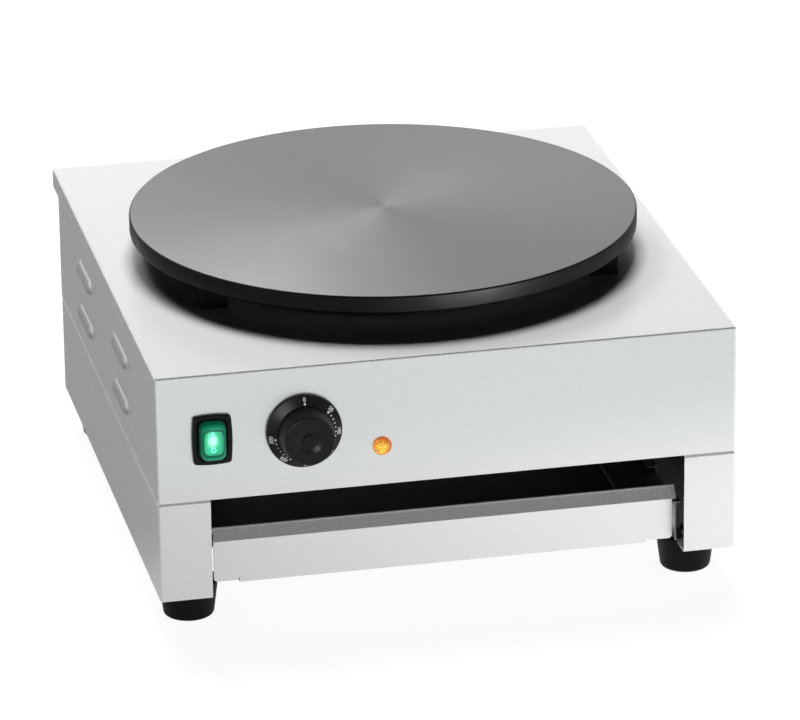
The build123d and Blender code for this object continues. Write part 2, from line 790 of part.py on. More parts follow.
write(headed_pins(facing_front(front_y), thermostat_screw_spots, small_head_radius,
                  small_head_height, small_screw_radius, -sheet - screw_bite),
      "thermostat_screws")

thermostat_tab_x = 0.5 * thermostat_width - tab_width
thermostat_tab_z = 0.5 * thermostat_height - 1.5 * tab_width
thermostat_tab_spots = [(knob_x + side * thermostat_tab_x, thermostat_z + end * thermostat_tab_z)
                        for side in (-1, 1) for end in (-1, 1)]
with BuildPart() as thermostat_tabs:
    with BuildSketch(facing_front(thermostat_rear_y)):
        with Locations(*thermostat_tab_spots):
            Rectangle(tab_sheet, tab_width)
    extrude(amount=-tab_length)
write(thermostat_tabs.part, "thermostat_tabs")

# Spindle, turning with the knob
with BuildPart() as thermostat_spindle:
    with BuildSketch(facing_front(front_y - spindle_reach)):
        with Locations((knob_x, thermostat_z)):
            Circle(spindle_radius)
    extrude(amount=-spindle_reach - sheet - spindle_depth + drawer_clearance)
write(thermostat_spindle.part, "thermostat_spindle")

# Sensing bulb under the hot plate and the capillary tube down to the thermostat
bulb_z = plate_bottom - bulb_radius - seat_gap
thermostat_top = thermostat_z + thermostat_height / 2
capillary_bend = 2 * bulb_radius
capillary_z = thermostat_top + capillary_bend + edge_gap
capillary_end_y = panel_back_y + 0.7 * thermostat_depth
with BuildPart() as thermostat_bulb:
    with BuildSketch(Plane.YZ.offset(bulb_end[0])):
        with Locations((bulb_end[1], bulb_z)):
            Circle(bulb_radius)
    extrude(amount=bulb_length)
    add(tube([(bulb_end[0] + capillary_radius, bulb_end[1], bulb_z),
              (capillary_spot[0], bulb_end[1], bulb_z),
              (capillary_spot[0], bulb_end[1], capillary_z),
              (knob_x, capillary_end_y, capillary_z),
              (knob_x, capillary_end_y, thermostat_top)],
             capillary_bend, capillary_radius))
write(thermostat_bulb.part, "thermostat_bulb")

# ------------------------------------------------------------------------------- knob
knob_axis = Axis((knob_x, front_y, thermostat_z), (0, -1, 0))
skirt_edge = 2.4
grip_root = 0.8
face_rounding = 1.6
hub_radius = 6.5
hollow_depth = 5.0
dimple_floor = knob_reach - dimple_depth
dimple_middle = (0.45 * dimple_radius + 0.55 * knob_cap_radius, knob_reach - 0.7 * dimple_depth)
with BuildPart() as knob:
    with BuildSketch(turning_plane(knob_x, thermostat_z)):
        with BuildLine():
            Polyline(
                (0, knob_standoff),
                (knob_skirt_radius, knob_standoff),
                (knob_skirt_radius, knob_standoff + skirt_edge),
                (knob_grip_radius + grip_root, knob_skirt_height),
                (knob_grip_radius, knob_skirt_height + grip_root),
                (knob_face_radius, knob_reach),
                (0, knob_reach),
                (0, knob_standoff))
        make_face()
    revolve(axis=knob_axis)
    fillet(knob.edges().filter_by(GeomType.CIRCLE).sort_by(Axis.Y)[0], face_rounding)
    with BuildSketch(turning_plane(knob_x, thermostat_z)):
        with BuildLine():
            Polyline((knob_cap_radius, dimple_floor), (0, dimple_floor),
                     (0, knob_reach), (dimple_radius, knob_reach))
            ThreePointArc((dimple_radius, knob_reach), dimple_middle,
                          (knob_cap_radius, dimple_floor))
        make_face()
    revolve(axis=knob_axis, mode=Mode.SUBTRACT)
    with BuildSketch(turning_plane(knob_x, thermostat_z)):
        with BuildLine():
            Polyline((hub_radius, knob_standoff),
                     (knob_skirt_radius - knob_wall, knob_standoff),
                     (knob_grip_radius, hollow_depth),
                     (hub_radius, hollow_depth),
                     (hub_radius, knob_standoff))
        make_face()
    revolve(axis=knob_axis, mode=Mode.SUBTRACT)
    with BuildSketch(facing_front(front_y)):
        with Locations((knob_x, thermostat_z)):
            Circle(spindle_radius)
    extrude(amount=spindle_reach, mode=Mode.SUBTRACT)
write(knob.part, "knob")

cap_rounding = 0.4
with BuildPart() as knob_cap:
    with BuildSketch(facing_front(front_y - dimple_floor)):
        with Locations((knob_x, thermostat_z)):
            Circle(knob_cap_radius)
    extrude(amount=knob_cap_height)
    fillet(knob_cap.edges().sort_by(Axis.Y)[0], cap_rounding)
write(knob_cap.part, "knob_cap")

# -------------------------------------------------------------------------- pilot lamp
lamp_flange = 1.6
lamp_flange_rounding = 0.6
lamp_dome_radius = lamp_radius - 0.75 * lamp_flange
lamp_dome_rounding = 1.8
with BuildPart() as lamp_lens:
    with BuildSketch(facing_front(front_y)):
        with Locations(lamp_centre):
            Circle(lamp_radius)
    extrude(amount=lamp_flange)
    fillet(lamp_lens.edges().sort_by(Axis.Y)[0], lamp_flange_rounding)
    with BuildSketch(facing_front(front_y)):
        with Locations(lamp_centre):
            Circle(lamp_dome_radius)
    extrude(amount=lamp_reach)
    fillet(lamp_lens.edges().sort_by(Axis.Y)[0], lamp_dome_rounding)
write(lamp_lens.part, "lamp_lens")

lamp_nut_radius = lamp_body_radius + 3.0
lamp_tab_x = 0.45 * lamp_body_radius
lamp_tab_spots = [(lamp_x + side * lamp_tab_x, lamp_centre[1]) for side in (-1, 1)]
with BuildPart() as lamp_body:
    with BuildSketch(facing_front(front_y)):
        with Locations(lamp_centre):
            Circle(lamp_body_radius)
    extrude(amount=-lamp_body_depth)
    with BuildSketch(facing_front(front_y + lamp_body_depth)):
        with Locations(*lamp_tab_spots):
            Rectangle(tab_sheet, 0.5 * tab_width)
    extrude(amount=-tab_length)
write(lamp_body.part, "lamp_body")
write(hex_nuts(facing_front(panel_back_y), [lamp_centre], lamp_nut_radius, -nut_height,
               lamp_body_radius), "lamp_nut")

# ----------------------------------------------------------------------- rocker switch
bezel_corner = 2.5
bezel_rounding = 0.9
recess_width = bezel_width - 2 * bezel_side
recess_height = bezel_height - 2 * bezel_end
recess_corner = 4.0
cavity_width = switch_body_width - 2 * switch_side_wall
cavity_height = switch_body_height - 2 * switch_end_wall
cavity_depth = 9.0
rocker_width = cavity_width - 2 * rocker_clearance
rocker_height = cavity_height - 2 * rocker_end_clearance
pivot_y = front_y + sheet
with BuildPart() as switch_housing:
    with BuildSketch(facing_front(front_y)) as bezel_outline:
        with Locations(switch_centre):
            Rectangle(bezel_width, bezel_height)
        fillet(bezel_outline.vertices(), bezel_corner)
    extrude(amount=bezel_reach)
    fillet(switch_housing.faces().sort_by(Axis.Y)[0].edges(), bezel_rounding)
    with BuildSketch(facing_front(front_y - recess_floor)) as recess_outline:
        with Locations(switch_centre):
            Rectangle(recess_width, recess_height)
        fillet(recess_outline.vertices(), recess_corner)
    extrude(amount=bezel_reach, mode=Mode.SUBTRACT)
    with BuildSketch(facing_front(front_y)):
        with Locations(switch_centre):
            Rectangle(switch_body_width, switch_body_height)
    extrude(amount=-switch_body_depth)
    with BuildSketch(facing_front(front_y - recess_floor)):
        with Locations(switch_centre):
            Rectangle(cavity_width, cavity_height)
    extrude(amount=-recess_floor - cavity_depth, mode=Mode.SUBTRACT)
    with Locations((switch_x, pivot_y, switch_centre[1])):
        Cylinder(rocker_pin_radius + running_gap,
                 rocker_width + 2 * (rocker_pin_length + rocker_clearance),
                 rotation=(0, 90, 0), mode=Mode.SUBTRACT)
write(switch_housing.part, "switch_housing")

# Clear splash cover over the rocker
cover_width = recess_width - 2 * recess_clearance
cover_height = recess_height - 2 * recess_clearance
cover_corner = recess_corner - recess_clearance
cover_rounding = 2.0
cover_draft = 4.0
with BuildPart() as switch_cover:
    with BuildSketch(facing_front(front_y - recess_floor)) as cover_outline:
        with Locations(switch_centre):
            Rectangle(cover_width, cover_height)
        fillet(cover_outline.vertices(), cover_corner)
    extrude(amount=cover_reach - recess_floor, taper=cover_draft)
    fillet(switch_cover.faces().sort_by(Axis.Y)[0].edges(), cover_rounding)
    with BuildSketch(facing_front(front_y - recess_floor)) as hollow_outline:
        with Locations(switch_centre):
            Rectangle(cover_width - 2 * cover_wall, cover_height - 2 * cover_wall)
        fillet(hollow_outline.vertices(), cover_corner - cover_wall)
    extrude(amount=cover_reach - recess_floor - cover_wall, taper=cover_draft,
            mode=Mode.SUBTRACT)
write(switch_cover.part, "switch_cover")

# Rocker, drawn level and then tipped so that its upper end is pressed in
rocker_back = 5.5
rocker_shoulder = 1.5
rocker_dish = 0.6
rocker_face_y = front_y - rocker_reach
rocker_top = switch_centre[1] + rocker_height / 2
rocker_bottom = switch_centre[1] - rocker_height / 2
rocker_heel = 0.175 * rocker_height
with BuildPart() as rocker:
    with BuildSketch(Plane.YZ.offset(switch_x - rocker_width / 2)):
        with BuildLine():
            Polyline(
                (rocker_face_y, rocker_top),
                (front_y - rocker_shoulder, rocker_top),
                (front_y + rocker_back, switch_centre[1] + rocker_heel),
                (front_y + rocker_back, switch_centre[1] - rocker_heel),
                (front_y - rocker_shoulder, rocker_bottom),
                (rocker_face_y, rocker_bottom))
            ThreePointArc((rocker_face_y, rocker_bottom),
                          (rocker_face_y + rocker_dish, switch_centre[1]),
                          (rocker_face_y, rocker_top))
        make_face()
    extrude(amount=rocker_width)
    with Locations((switch_x, pivot_y, switch_centre[1])):
        Cylinder(rocker_pin_radius, rocker_width + 2 * rocker_pin_length, rotation=(0, 90, 0))
rocker_axis = Axis((switch_x, pivot_y, switch_centre[1]), (1, 0, 0))
write(rocker.part.rotate(rocker_axis, -rocker_tilt), "rocker")

switch_tab_x = 6.0
switch_tab_z = 9.0
switch_tab_spots = [(switch_x + side * switch_tab_x, switch_centre[1] + end * switch_tab_z)
                    for side in (-1, 1) for end in (-1, 1)]
with BuildPart() as switch_tabs:
    with BuildSketch(facing_front(front_y + switch_body_depth)):
        with Locations(*switch_tab_spots):
            Rectangle(tab_sheet, tab_width)
    extrude(amount=-tab_length)
write(switch_tabs.part, "switch_tabs")

# ------------------------------------------------------------------------- mains side
with BuildPart() as gland_body:
    with BuildSketch(facing_front(rear_panel_y)):
        with Locations(gland_centre):
            RegularPolygon(gland_thread_radius + gland_hex_margin, 6)
    extrude(amount=-gland_flange)
    with BuildSketch(facing_front(rear_panel_y)):
        with Locations(gland_centre):
            Circle(gland_thread_radius)
    extrude(amount=gland_tail)
    with BuildSketch(facing_front(rear_panel_y + gland_flange)):
        with Locations(gland_centre):
            Circle(gland_bore_radius)
    extrude(amount=gland_flange + gland_tail, mode=Mode.SUBTRACT)
write(gland_body.part, "gland_body")

gland_cap_rounding = 3.0
with BuildPart() as gland_cap:
    with BuildSketch(facing_front(rear_panel_y + gland_flange)):
        with Locations(gland_centre):
            RegularPolygon(gland_thread_radius + gland_hex_margin, 6)
    extrude(amount=-gland_cap_length / 2)
    with BuildSketch(facing_front(rear_panel_y + gland_flange)):
        with Locations(gland_centre):
            Circle(gland_thread_radius + gland_cap_margin)
    extrude(amount=-gland_cap_length)
    fillet(gland_cap.edges().sort_by(Axis.Y)[-1], gland_cap_rounding)
    with BuildSketch(facing_front(rear_panel_y + gland_flange)):
        with Locations(gland_centre):
            Circle(gland_bore_radius)
    extrude(amount=-gland_cap_length, mode=Mode.SUBTRACT)
write(gland_cap.part, "gland_cap")
write(hex_nuts(facing_front(rear_panel_y - sheet), [gland_centre],
               gland_thread_radius + gland_hex_margin, locknut_height, gland_thread_radius),
      "gland_locknut")

# Terminal block on the mid plate in front of the gland
block_y = rear_panel_y - block_setback
block_front_y = block_y - block_depth / 2
pole_pitch = block_width / 3
pole_xs = [gland_x + step * pole_pitch for step in (-1, 0, 1)]
clamp_radius = 2.2
clamp_clearance = 0.4
clamp_depth = 6.0
clamp_height = 4.0
clamp_spots = [(x, block_y + share * block_depth) for x in pole_xs for share in (-0.27, 0.27)]
with BuildPart() as terminal_block:
    block((gland_x - block_width / 2, gland_x + block_width / 2),
          (block_front_y, block_front_y + block_depth),
          (casing_bottom, casing_bottom + block_height))
    with BuildSketch(Plane.XY.offset(casing_bottom + block_height)):
        with Locations(*clamp_spots):
            Circle(clamp_radius + clamp_clearance)
    extrude(amount=-clamp_depth, mode=Mode.SUBTRACT)
write(terminal_block.part, "terminal_block")

with BuildPart() as terminal_screws:
    with BuildSketch(Plane.XY.offset(casing_bottom + block_height - clamp_depth)):
        with Locations(*clamp_spots):
            Circle(clamp_radius)
    extrude(amount=clamp_height)
write(terminal_screws.part, "terminal_screws")

earth_spot = (gland_x + earth_pitch, block_y)
with BuildPart() as earth_stud:
    with BuildSketch(Plane.XY.offset(casing_bottom)):
        with Locations(earth_spot):
            Circle(large_screw_radius)
    extrude(amount=earth_stud_length)
write(earth_stud.part, "earth_stud")
write(hex_nuts(Plane.XY.offset(casing_bottom), [earth_spot], large_nut_radius, nut_height,
               large_screw_radius), "earth_nut")

# Safety limiter inside the rear panel, its reset button under a cap outside
with BuildPart() as limiter_body:
    with BuildSketch(facing_front(rear_panel_y - sheet)) as limiter_outline:
        with Locations(limiter_centre):
            Rectangle(limiter_width, limiter_height)
        fillet(limiter_outline.vertices(), bend_radius)
    extrude(amount=limiter_depth)
    with BuildSketch(facing_front(rear_panel_y - sheet)):
        with Locations(limiter_centre):
            Circle(limiter_neck_radius)
    extrude(amount=-sheet)
write(limiter_body.part, "limiter_body")

with BuildPart() as limiter_cap:
    with BuildSketch(facing_front(rear_panel_y)):
        with Locations(limiter_centre):
            Circle(limiter_cap_radius)
    extrude(amount=-limiter_cap_length)
    fillet(limiter_cap.edges().sort_by(Axis.Y)[-1], bend_radius)
write(limiter_cap.part, "limiter_cap")

# Wires, on three levels above the mid plate and ending at their tabs, pins and clamps
wire_radius = 1.2
wire_bend = 6.0
run_z = casing_bottom + 8.0
limiter_run_z = run_z + 15.0
element_run_z = run_z + 30.0
clamp_offset = 4.0
switch_rear_y = front_y + switch_body_depth
lamp_rear_y = front_y + lamp_body_depth
limiter_front_y = rear_panel_y - sheet - limiter_depth
pin_bottom = leg_bottom - pin_length


def tab_end(spots, body_rear_y, index):
    """The middle of a tab's free end, where a wire starts."""
    x, z = spots[index]
    return (x, body_rear_y + tab_length, z)


def wire_from_tab(start, run_length, clamp_x):
    """A wire from a tab's end, back and down to the lowest run, then across to a clamp."""
    x, y, z = start
    run_y = switch_rear_y + run_length
    return [start, (x, run_y, z), (x, run_y, run_z), (clamp_x, run_y, run_z),
            (clamp_x, block_front_y, run_z)]


def wire_to_element(start, run_length, pin):
    """A wire from a tab's end, across under the hot plate and up to a heater pin."""
    x, y, z = start
    run_y = y + run_length
    return [start, (x, run_y, z), (x, run_y, element_run_z), (pin[0], run_y, element_run_z),
            (*pin, element_run_z), (*pin, pin_bottom)]


def wire_to_limiter(pin, slant, rise_length):
    """A wire from a heater pin down, across and back to the limiter."""
    rise_y = limiter_front_y - rise_length
    return [(*pin, pin_bottom), (*pin, limiter_run_z),
            (limiter_x, pin[1] + slant, limiter_run_z),
            (limiter_x, rise_y, limiter_run_z), (limiter_x, rise_y, limiter_centre[1]),
            (limiter_x, limiter_front_y, limiter_centre[1])]


routes = [
    wire_from_tab(tab_end(switch_tab_spots, switch_rear_y, 0), 38, pole_xs[0] - clamp_offset),
    wire_from_tab(tab_end(switch_tab_spots, switch_rear_y, 2), 26, pole_xs[1] - clamp_offset),
    wire_from_tab(tab_end(thermostat_tab_spots, thermostat_rear_y, 2), 62,
                  pole_xs[2] - clamp_offset),
    wire_from_tab(tab_end(lamp_tab_spots, lamp_rear_y, 1), 76, pole_xs[2] + clamp_offset),
    wire_to_element(tab_end(thermostat_tab_spots, thermostat_rear_y, 3), 50, leg_spots[1]),
    wire_to_limiter(leg_spots[0], 18, 24),
]
with BuildPart() as wiring:
    for route_points in routes:
        add(tube(route_points, wire_bend, wire_radius))
write(wiring.part, "wiring")
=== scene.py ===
import json
from math import cos, pi, radians, sin

import bmesh
import bpy
from bpy.props import FloatProperty, FloatVectorProperty, IntProperty, PointerProperty
from mathutils import Matrix, Vector
from mathutils.bvhtree import BVHTree


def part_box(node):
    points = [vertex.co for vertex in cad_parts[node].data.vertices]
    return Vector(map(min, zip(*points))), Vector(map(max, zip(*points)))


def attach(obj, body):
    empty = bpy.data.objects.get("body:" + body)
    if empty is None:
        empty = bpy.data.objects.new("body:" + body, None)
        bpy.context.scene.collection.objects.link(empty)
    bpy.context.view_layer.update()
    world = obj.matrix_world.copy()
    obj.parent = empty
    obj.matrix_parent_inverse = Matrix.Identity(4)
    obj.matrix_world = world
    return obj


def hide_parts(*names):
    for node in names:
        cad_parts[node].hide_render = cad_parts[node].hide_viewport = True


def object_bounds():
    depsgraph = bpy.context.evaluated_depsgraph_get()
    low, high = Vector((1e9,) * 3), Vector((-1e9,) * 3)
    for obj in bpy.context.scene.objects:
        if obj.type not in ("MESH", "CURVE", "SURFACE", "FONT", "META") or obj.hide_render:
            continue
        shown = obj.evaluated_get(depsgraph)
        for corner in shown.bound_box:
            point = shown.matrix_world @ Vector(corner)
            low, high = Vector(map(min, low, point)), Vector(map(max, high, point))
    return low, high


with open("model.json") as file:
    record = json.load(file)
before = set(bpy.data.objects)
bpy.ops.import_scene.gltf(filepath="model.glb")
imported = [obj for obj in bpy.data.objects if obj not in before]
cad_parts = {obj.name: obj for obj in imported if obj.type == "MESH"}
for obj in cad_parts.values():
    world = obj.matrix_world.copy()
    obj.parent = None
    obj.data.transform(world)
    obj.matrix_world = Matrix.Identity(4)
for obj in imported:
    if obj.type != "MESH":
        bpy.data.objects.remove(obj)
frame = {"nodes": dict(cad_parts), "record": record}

bl_info = {
    "name": "Electric crepe maker",
    "version": (1, 0, 0),
    "blender": (4, 5, 0),
    "location": "View3D > Sidebar > Crepe maker",
    "description": "Finishes and detail pieces of a countertop electric crepe maker",
    "category": "Object",
}

MM = 0.001
CAD_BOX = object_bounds()


# ----------------------------------------------------------------------------- settings
def number(name, description, default, **options):
    """A number that a user may change."""
    return FloatProperty(name=name, description=description, default=default, **options)


def length(name, description, default):
    """A length in metres that a user may change."""
    return number(name, description, default, unit="LENGTH", precision=5)


def angle(name, description, degrees):
    """An angle that a user may change."""
    return number(name, description, radians(degrees), subtype="ANGLE")


def power(name, description, default):
    """A lamp's power in watts that a user may change."""
    return number(name, description, default, unit="POWER")


def share(name, description, default):
    """A share from 0 to 1 that a user may change."""
    return number(name, description, default, subtype="FACTOR", min=0.0, max=1.0)


def level(name, description, default):
    """A plain number, such as a light's strength, that a user may change."""
    return number(name, description, default, min=0.0)


def colour(name, description, default):
    """A colour that a user may change."""
    return FloatVectorProperty(name=name, description=description, default=default,
                               subtype="COLOR", size=3, min=0.0, max=1.0)


class StageSettings(bpy.types.PropertyGroup):
    """Camera and light."""
    azimuth: angle("Azimuth", "Camera's angle round the object", -11.881)
    elevation: angle("Elevation", "Camera's angle above the horizon", 21.439)
    roll: angle("Roll", "Camera's turn about its own axis", -0.762)
    distance: length("Distance", "From the camera to the point it looks at", 4.7)
    target: FloatVectorProperty(name="Target", description="Point that the camera looks at",
                                default=(0.0168, 0.0267, 0.1054), subtype="TRANSLATION",
                                unit="LENGTH", precision=4)
    lens: number("Lens", "Focal length in millimetres", 264.21)
    ambient: level("Ambient", "Level of the light from all round", 0.005)
    backdrop: level("Backdrop", "Mirrored light from behind", 0.95)
    ceiling: level("Ceiling", "Mirrored light from above and in front", 0.08)
    panel: share("Panel", "Mirrored panel in front on the right, of the backdrop", 0.35)
    low_side: share("Low side", "Mirrored light from low down, of the backdrop", 0.55)
    floor_glow: level("Floor glow", "Level of the floor where it is seen", 0.93)
    floor_paint: share("Floor paint", "Share of the lamps' light on the seen floor", 0.18)
    floor_bounce: share("Floor bounce", "Share of light that the floor throws back", 0.36)
    top_power: power("Top", "Power of the lamp overhead", 166.0)
    left_power: power("Left", "Power of the lamp behind on the left", 26.0)
    front_power: power("Front", "Power of the low lamp in front", 31.0)
    sheen_power: power("Sheen", "Power of the rim's gloss lamp", 20.0)
    fan_power: power("Fan", "Power of the plate's gloss lamp", 12.0)
    skirt_power: power("Skirt", "Power of the knob's gloss lamp", 5.0)
    side_power: power("Side", "Power of the lamp on the right", 20.0)
    rear_power: power("Rear", "Power of the lamp behind", 24.0)


class SteelSettings(bpy.types.PropertyGroup):
    """Sheet metal."""
    casing_tint: colour("Casing", "Brushed stainless outside", (0.85, 0.86, 0.855))
    rear_tint: colour("Rear", "Plain stainless panels behind", (0.70, 0.70, 0.695))
    # Painted shade: the tray's stainless is darkened well below the casing's, for the shaded
    # inside of the drawer
    tray_painted_shade_tint: colour("Tray", "Plain stainless of the drawer's tray", (0.31, 0.31, 0.305))
    zinc_tint: colour("Zinc", "Galvanised sheet inside", (0.50, 0.51, 0.52))
    rail_tint: colour("Rails", "Plain steel of rails and brackets", (0.42, 0.42, 0.42))
    roughness: share("Roughness", "Satin of the brushed stainless", 0.27)
    streak: share("Streak", "How much a brush line changes the satin", 0.012)
    grain_lines: level("Grain", "Brush lines per metre", 3200.0)
    fineness: level("Fineness", "How much finer the casing's brush lines are", 8.0)
    grain_depth: length("Grain depth", "Depth of the brush lines", 0.00000012)
    metal: share("Metal", "Share of mirrored light; the rest is a satin haze", 0.75)
    top_metal: share("Top metal", "The same on top, where heat has hazed the sheet", 0.05)
    # Painted shade: this share darkens the louvers' colour, so that they keep less light
    vent_painted_shade: share("Vent painted shade", "How much light the shade-painted louvers keep", 0.68)


class PlateSettings(bpy.types.PropertyGroup):
    """Cast-iron hot plate."""
    ground_tint: colour("Ground top", "Machined and seasoned top face", (0.246, 0.245, 0.243))
    skin_tint: colour("Seasoned skin", "Black rim and underside", (0.002, 0.002, 0.0021))
    roughness: share("Roughness", "Satin of the ground top", 0.46)
    ring_pitch: length("Ring pitch", "Distance between turning marks", 0.0009)
    bevel: length("Bevel", "Bevel round the top edge", 0.0011)
    segments: IntProperty(name="Segments", description="Steps round the plate", default=256)


class KnobSettings(bpy.types.PropertyGroup):
    """Thermostat knob and its dial."""
    tint: colour("Knob", "Black satin moulding", (0.010, 0.010, 0.010))
    print_tint: colour("Print", "White dial marks", (0.86, 0.86, 0.84))
    numeral_size: length("Numerals", "Height of the dial's numbers", 0.0041)
    numeral_ring: length("Numeral ring", "Radius at the numbers' feet", 0.0250)
    dot_ring: length("Dot ring", "Radius of the ring of dots", 0.0234)
    dot_radius: length("Dot", "Radius of a small dot", 0.00062)
    first_angle: angle("First mark", "From 0 to 50 degrees Celsius", 50.0)
    last_angle: angle("Last mark", "From 0 to 300 degrees Celsius", 261.0)
    dot_count: IntProperty(name="Dots", description="One for each 10 degrees from 50 to 300",
                           default=26)


class SwitchSettings(bpy.types.PropertyGroup):
    """Rocker switch with its splash cover."""
    bezel_tint: colour("Bezel", "Black moulding", (0.004, 0.004, 0.004))
    cover_tint: colour("Cover", "Green of the cover's thick border", (0.01, 0.42, 0.28))
    window_tint: colour("Window", "Thin, clear middle of the cover", (0.20, 0.86, 0.62))
    band_tint: colour("Cover glow", "Light that the cover scatters", (0.002, 0.12, 0.065))
    glow_tint: colour("Glow", "Lit rocker", (0.02, 0.42, 0.24))
    hot_tint: colour("Hot spot", "Rocker in front of its lamp", (0.9, 1.0, 0.97))
    glow: level("Glow strength", "Light from the rocker", 0.85)
    mark_glow: level("Mark strength", "Light from the marks on the rocker", 2.6)
    waist: length("Waist", "How far the bezel's corners draw in from its sides", 0.0011)


class LampSettings(bpy.types.PropertyGroup):
    """Pilot lamp."""
    rim_tint: colour("Rim", "Lens rim", (0.42, 0.03, 0.005))
    amber_tint: colour("Amber", "Lens between rim and core", (0.95, 0.21, 0.008))
    core_tint: colour("Core", "Middle of the lit lens", (1.0, 0.86, 0.10))
    glow: level("Glow strength", "Light from the lens", 1.0)
    facets: IntProperty(name="Facets", description="Facets round the lens", default=12)


SETTINGS = {"stage": StageSettings, "steel": SteelSettings, "plate": PlateSettings,
            "knob": KnobSettings, "switch": SwitchSettings, "lamp": LampSettings}


def settings(part):
    """The scene's settings of one part of the object."""
    return getattr(bpy.context.scene, "crepe_" + part)


# --------------------------------------------------------------------------- node tools
NOISE_LOW, NOISE_HIGH = 0.3, 0.7         # most of a noise's values lie between these


def put(tree, kind, inputs=(), **options):
    """Adds a node. Options are its properties, and inputs maps sockets to values or links."""
    made = tree.nodes.new(kind)
    for name, value in options.items():
        setattr(made, name, value)
    for key, value in dict(inputs).items():
        if isinstance(value, bpy.types.NodeSocket):
            tree.links.new(value, made.inputs[key])
        else:
            made.inputs[key].default_value = value
    return made


def feed(node, **links):
    """Links values to a node's inputs, their names written with underscores for spaces."""
    for name, value in links.items():
        node.id_data.links.new(value, node.inputs[name.replace("_", " ")])


def maths(tree, operation, *values):
    """A Math node's result."""
    return put(tree, "ShaderNodeMath", dict(enumerate(values)), operation=operation).outputs[0]


def remap(tree, value, low, high, to_low=0.0, to_high=1.0):
    """A value moved from one range to another, and kept inside it."""
    return put(tree, "ShaderNodeMapRange", {0: value, 1: low, 2: high, 3: to_low, 4: to_high},
               interpolation_type="SMOOTHSTEP").outputs[0]


def spread(tree, value, to_low=0.0, to_high=1.0):
    """A noise spread over a range."""
    return remap(tree, value, NOISE_LOW, NOISE_HIGH, to_low, to_high)


def mixed(tree, factor, first, second):
    """One colour turning into another."""
    return put(tree, "ShaderNodeMix", {0: factor, 6: first, 7: second},
               data_type="RGBA").outputs[2]


def blended(tree, factor, first, second):
    """One number turning into another."""
    return put(tree, "ShaderNodeMix", {0: factor, 2: first, 3: second}).outputs[0]


def object_place(tree):
    """The place on the object, in its own coordinates."""
    return put(tree, "ShaderNodeTexCoord").outputs["Object"]


def axes(tree, vector):
    """The three parts of a vector."""
    return put(tree, "ShaderNodeSeparateXYZ", {0: vector}).outputs


def combined(tree, *parts):
    """A vector of up to three parts."""
    return put(tree, "ShaderNodeCombineXYZ", dict(enumerate(parts))).outputs[0]


def noise(tree, vector, scale, detail=2.0, roughness=0.5):
    """Soft noise from 0 to 1."""
    return put(tree, "ShaderNodeTexNoise", {"Vector": vector, "Scale": scale, "Detail": detail,
                                            "Roughness": roughness}).outputs[0]


def scaled(tree, vector, factors):
    """A vector times three factors."""
    return put(tree, "ShaderNodeVectorMath", {0: vector, 1: factors},
               operation="MULTIPLY").outputs[0]


def distance_from(tree, centre, factors):
    """The distance from a point, each axis counted by its own factor."""
    away = put(tree, "ShaderNodeVectorMath", {0: object_place(tree), 1: centre},
               operation="SUBTRACT").outputs[0]
    return put(tree, "ShaderNodeVectorMath", {0: scaled(tree, away, factors)},
               operation="LENGTH").outputs["Value"]


def four(tint, factor=1.0):
    """A colour with alpha, lightened or darkened."""
    return (tint[0] * factor, tint[1] * factor, tint[2] * factor, 1.0)


def grey(value):
    """A grey with alpha."""
    return (value, value, value, 1.0)


def shader_group(name, inputs, outputs):
    """An empty shader node group with named number inputs and outputs."""
    group = bpy.data.node_groups.new(name, "ShaderNodeTree")
    for socket, value in inputs.items():
        made = group.interface.new_socket(socket, in_out="INPUT", socket_type="NodeSocketFloat")
        made.default_value = value
    for socket in outputs:
        group.interface.new_socket(socket, in_out="OUTPUT", socket_type="NodeSocketFloat")
    return group, put(group, "NodeGroupInput").outputs, put(group, "NodeGroupOutput")


def brushed_grain():
    """Brush lines along X in front and on top and along Y on the sides, with their masks."""
    group, given, result = shader_group(
        "brushed_grain", {"Lines": 3200.0, "Stretch": 60.0, "Side": 10.0},
        ("Streak", "Smudge", "Top", "Vent"))
    fine_share, coarse_share, coarse_step = 0.6, 0.4, 6.0
    place = object_place(group)
    x, y, z = axes(group, place)
    upward = axes(group, put(group, "ShaderNodeNewGeometry").outputs["Normal"])[2]
    level_face = maths(group, "GREATER_THAN", maths(group, "ABSOLUTE", upward), 0.7)
    across = blended(group, level_face, z, y)
    along = maths(group, "ADD", x, blended(group, level_face, y, 0.0))
    line = combined(group, maths(group, "DIVIDE", along, given["Stretch"]), across)
    fine = noise(group, line, given["Lines"], 3.0, 0.7)
    coarse = noise(group, line, maths(group, "DIVIDE", given["Lines"], coarse_step), 2.0)
    # Vent: the louvers standing proud of the sides, where the casing paints shade
    proud = maths(group, "SUBTRACT", maths(group, "ABSOLUTE", x), given["Side"])
    feed(result, Streak=maths(group, "ADD", maths(group, "MULTIPLY", fine, fine_share),
                              maths(group, "MULTIPLY", coarse, coarse_share)),
         Smudge=noise(group, place, 9.0, 4.0, 0.6),
         Top=remap(group, upward, 0.75, 0.97),
         Vent=remap(group, proud, 0.2 * MM, 1.2 * MM))


def turned_rings():
    """Fine turning marks round an upright axis, and cloudy patches of seasoning."""
    group, given, result = shader_group(
        "turned_rings", {"Centre X": 0.0, "Centre Y": 0.0, "Pitch": 0.001}, ("Ring", "Patch"))
    radius = distance_from(group, combined(group, given["Centre X"], given["Centre Y"]),
                           (1.0, 1.0, 0.0))
    ring = combined(group, maths(group, "DIVIDE", radius, given["Pitch"]))
    feed(result, Ring=noise(group, ring, 1.0, 2.0, 0.6),
         Patch=noise(group, object_place(group), 14.0, 5.0, 0.6))


def moulded_skin():
    """Fine spark-eroded grain of a mould, and a slow change of sheen."""
    group, given, result = shader_group("moulded_skin", {"Grain": 5200.0},
                                        ("Height", "Sheen"))
    place = object_place(group)
    feed(result, Height=noise(group, place, given["Grain"], 2.0),
         Sheen=noise(group, place, 60.0, 3.0))


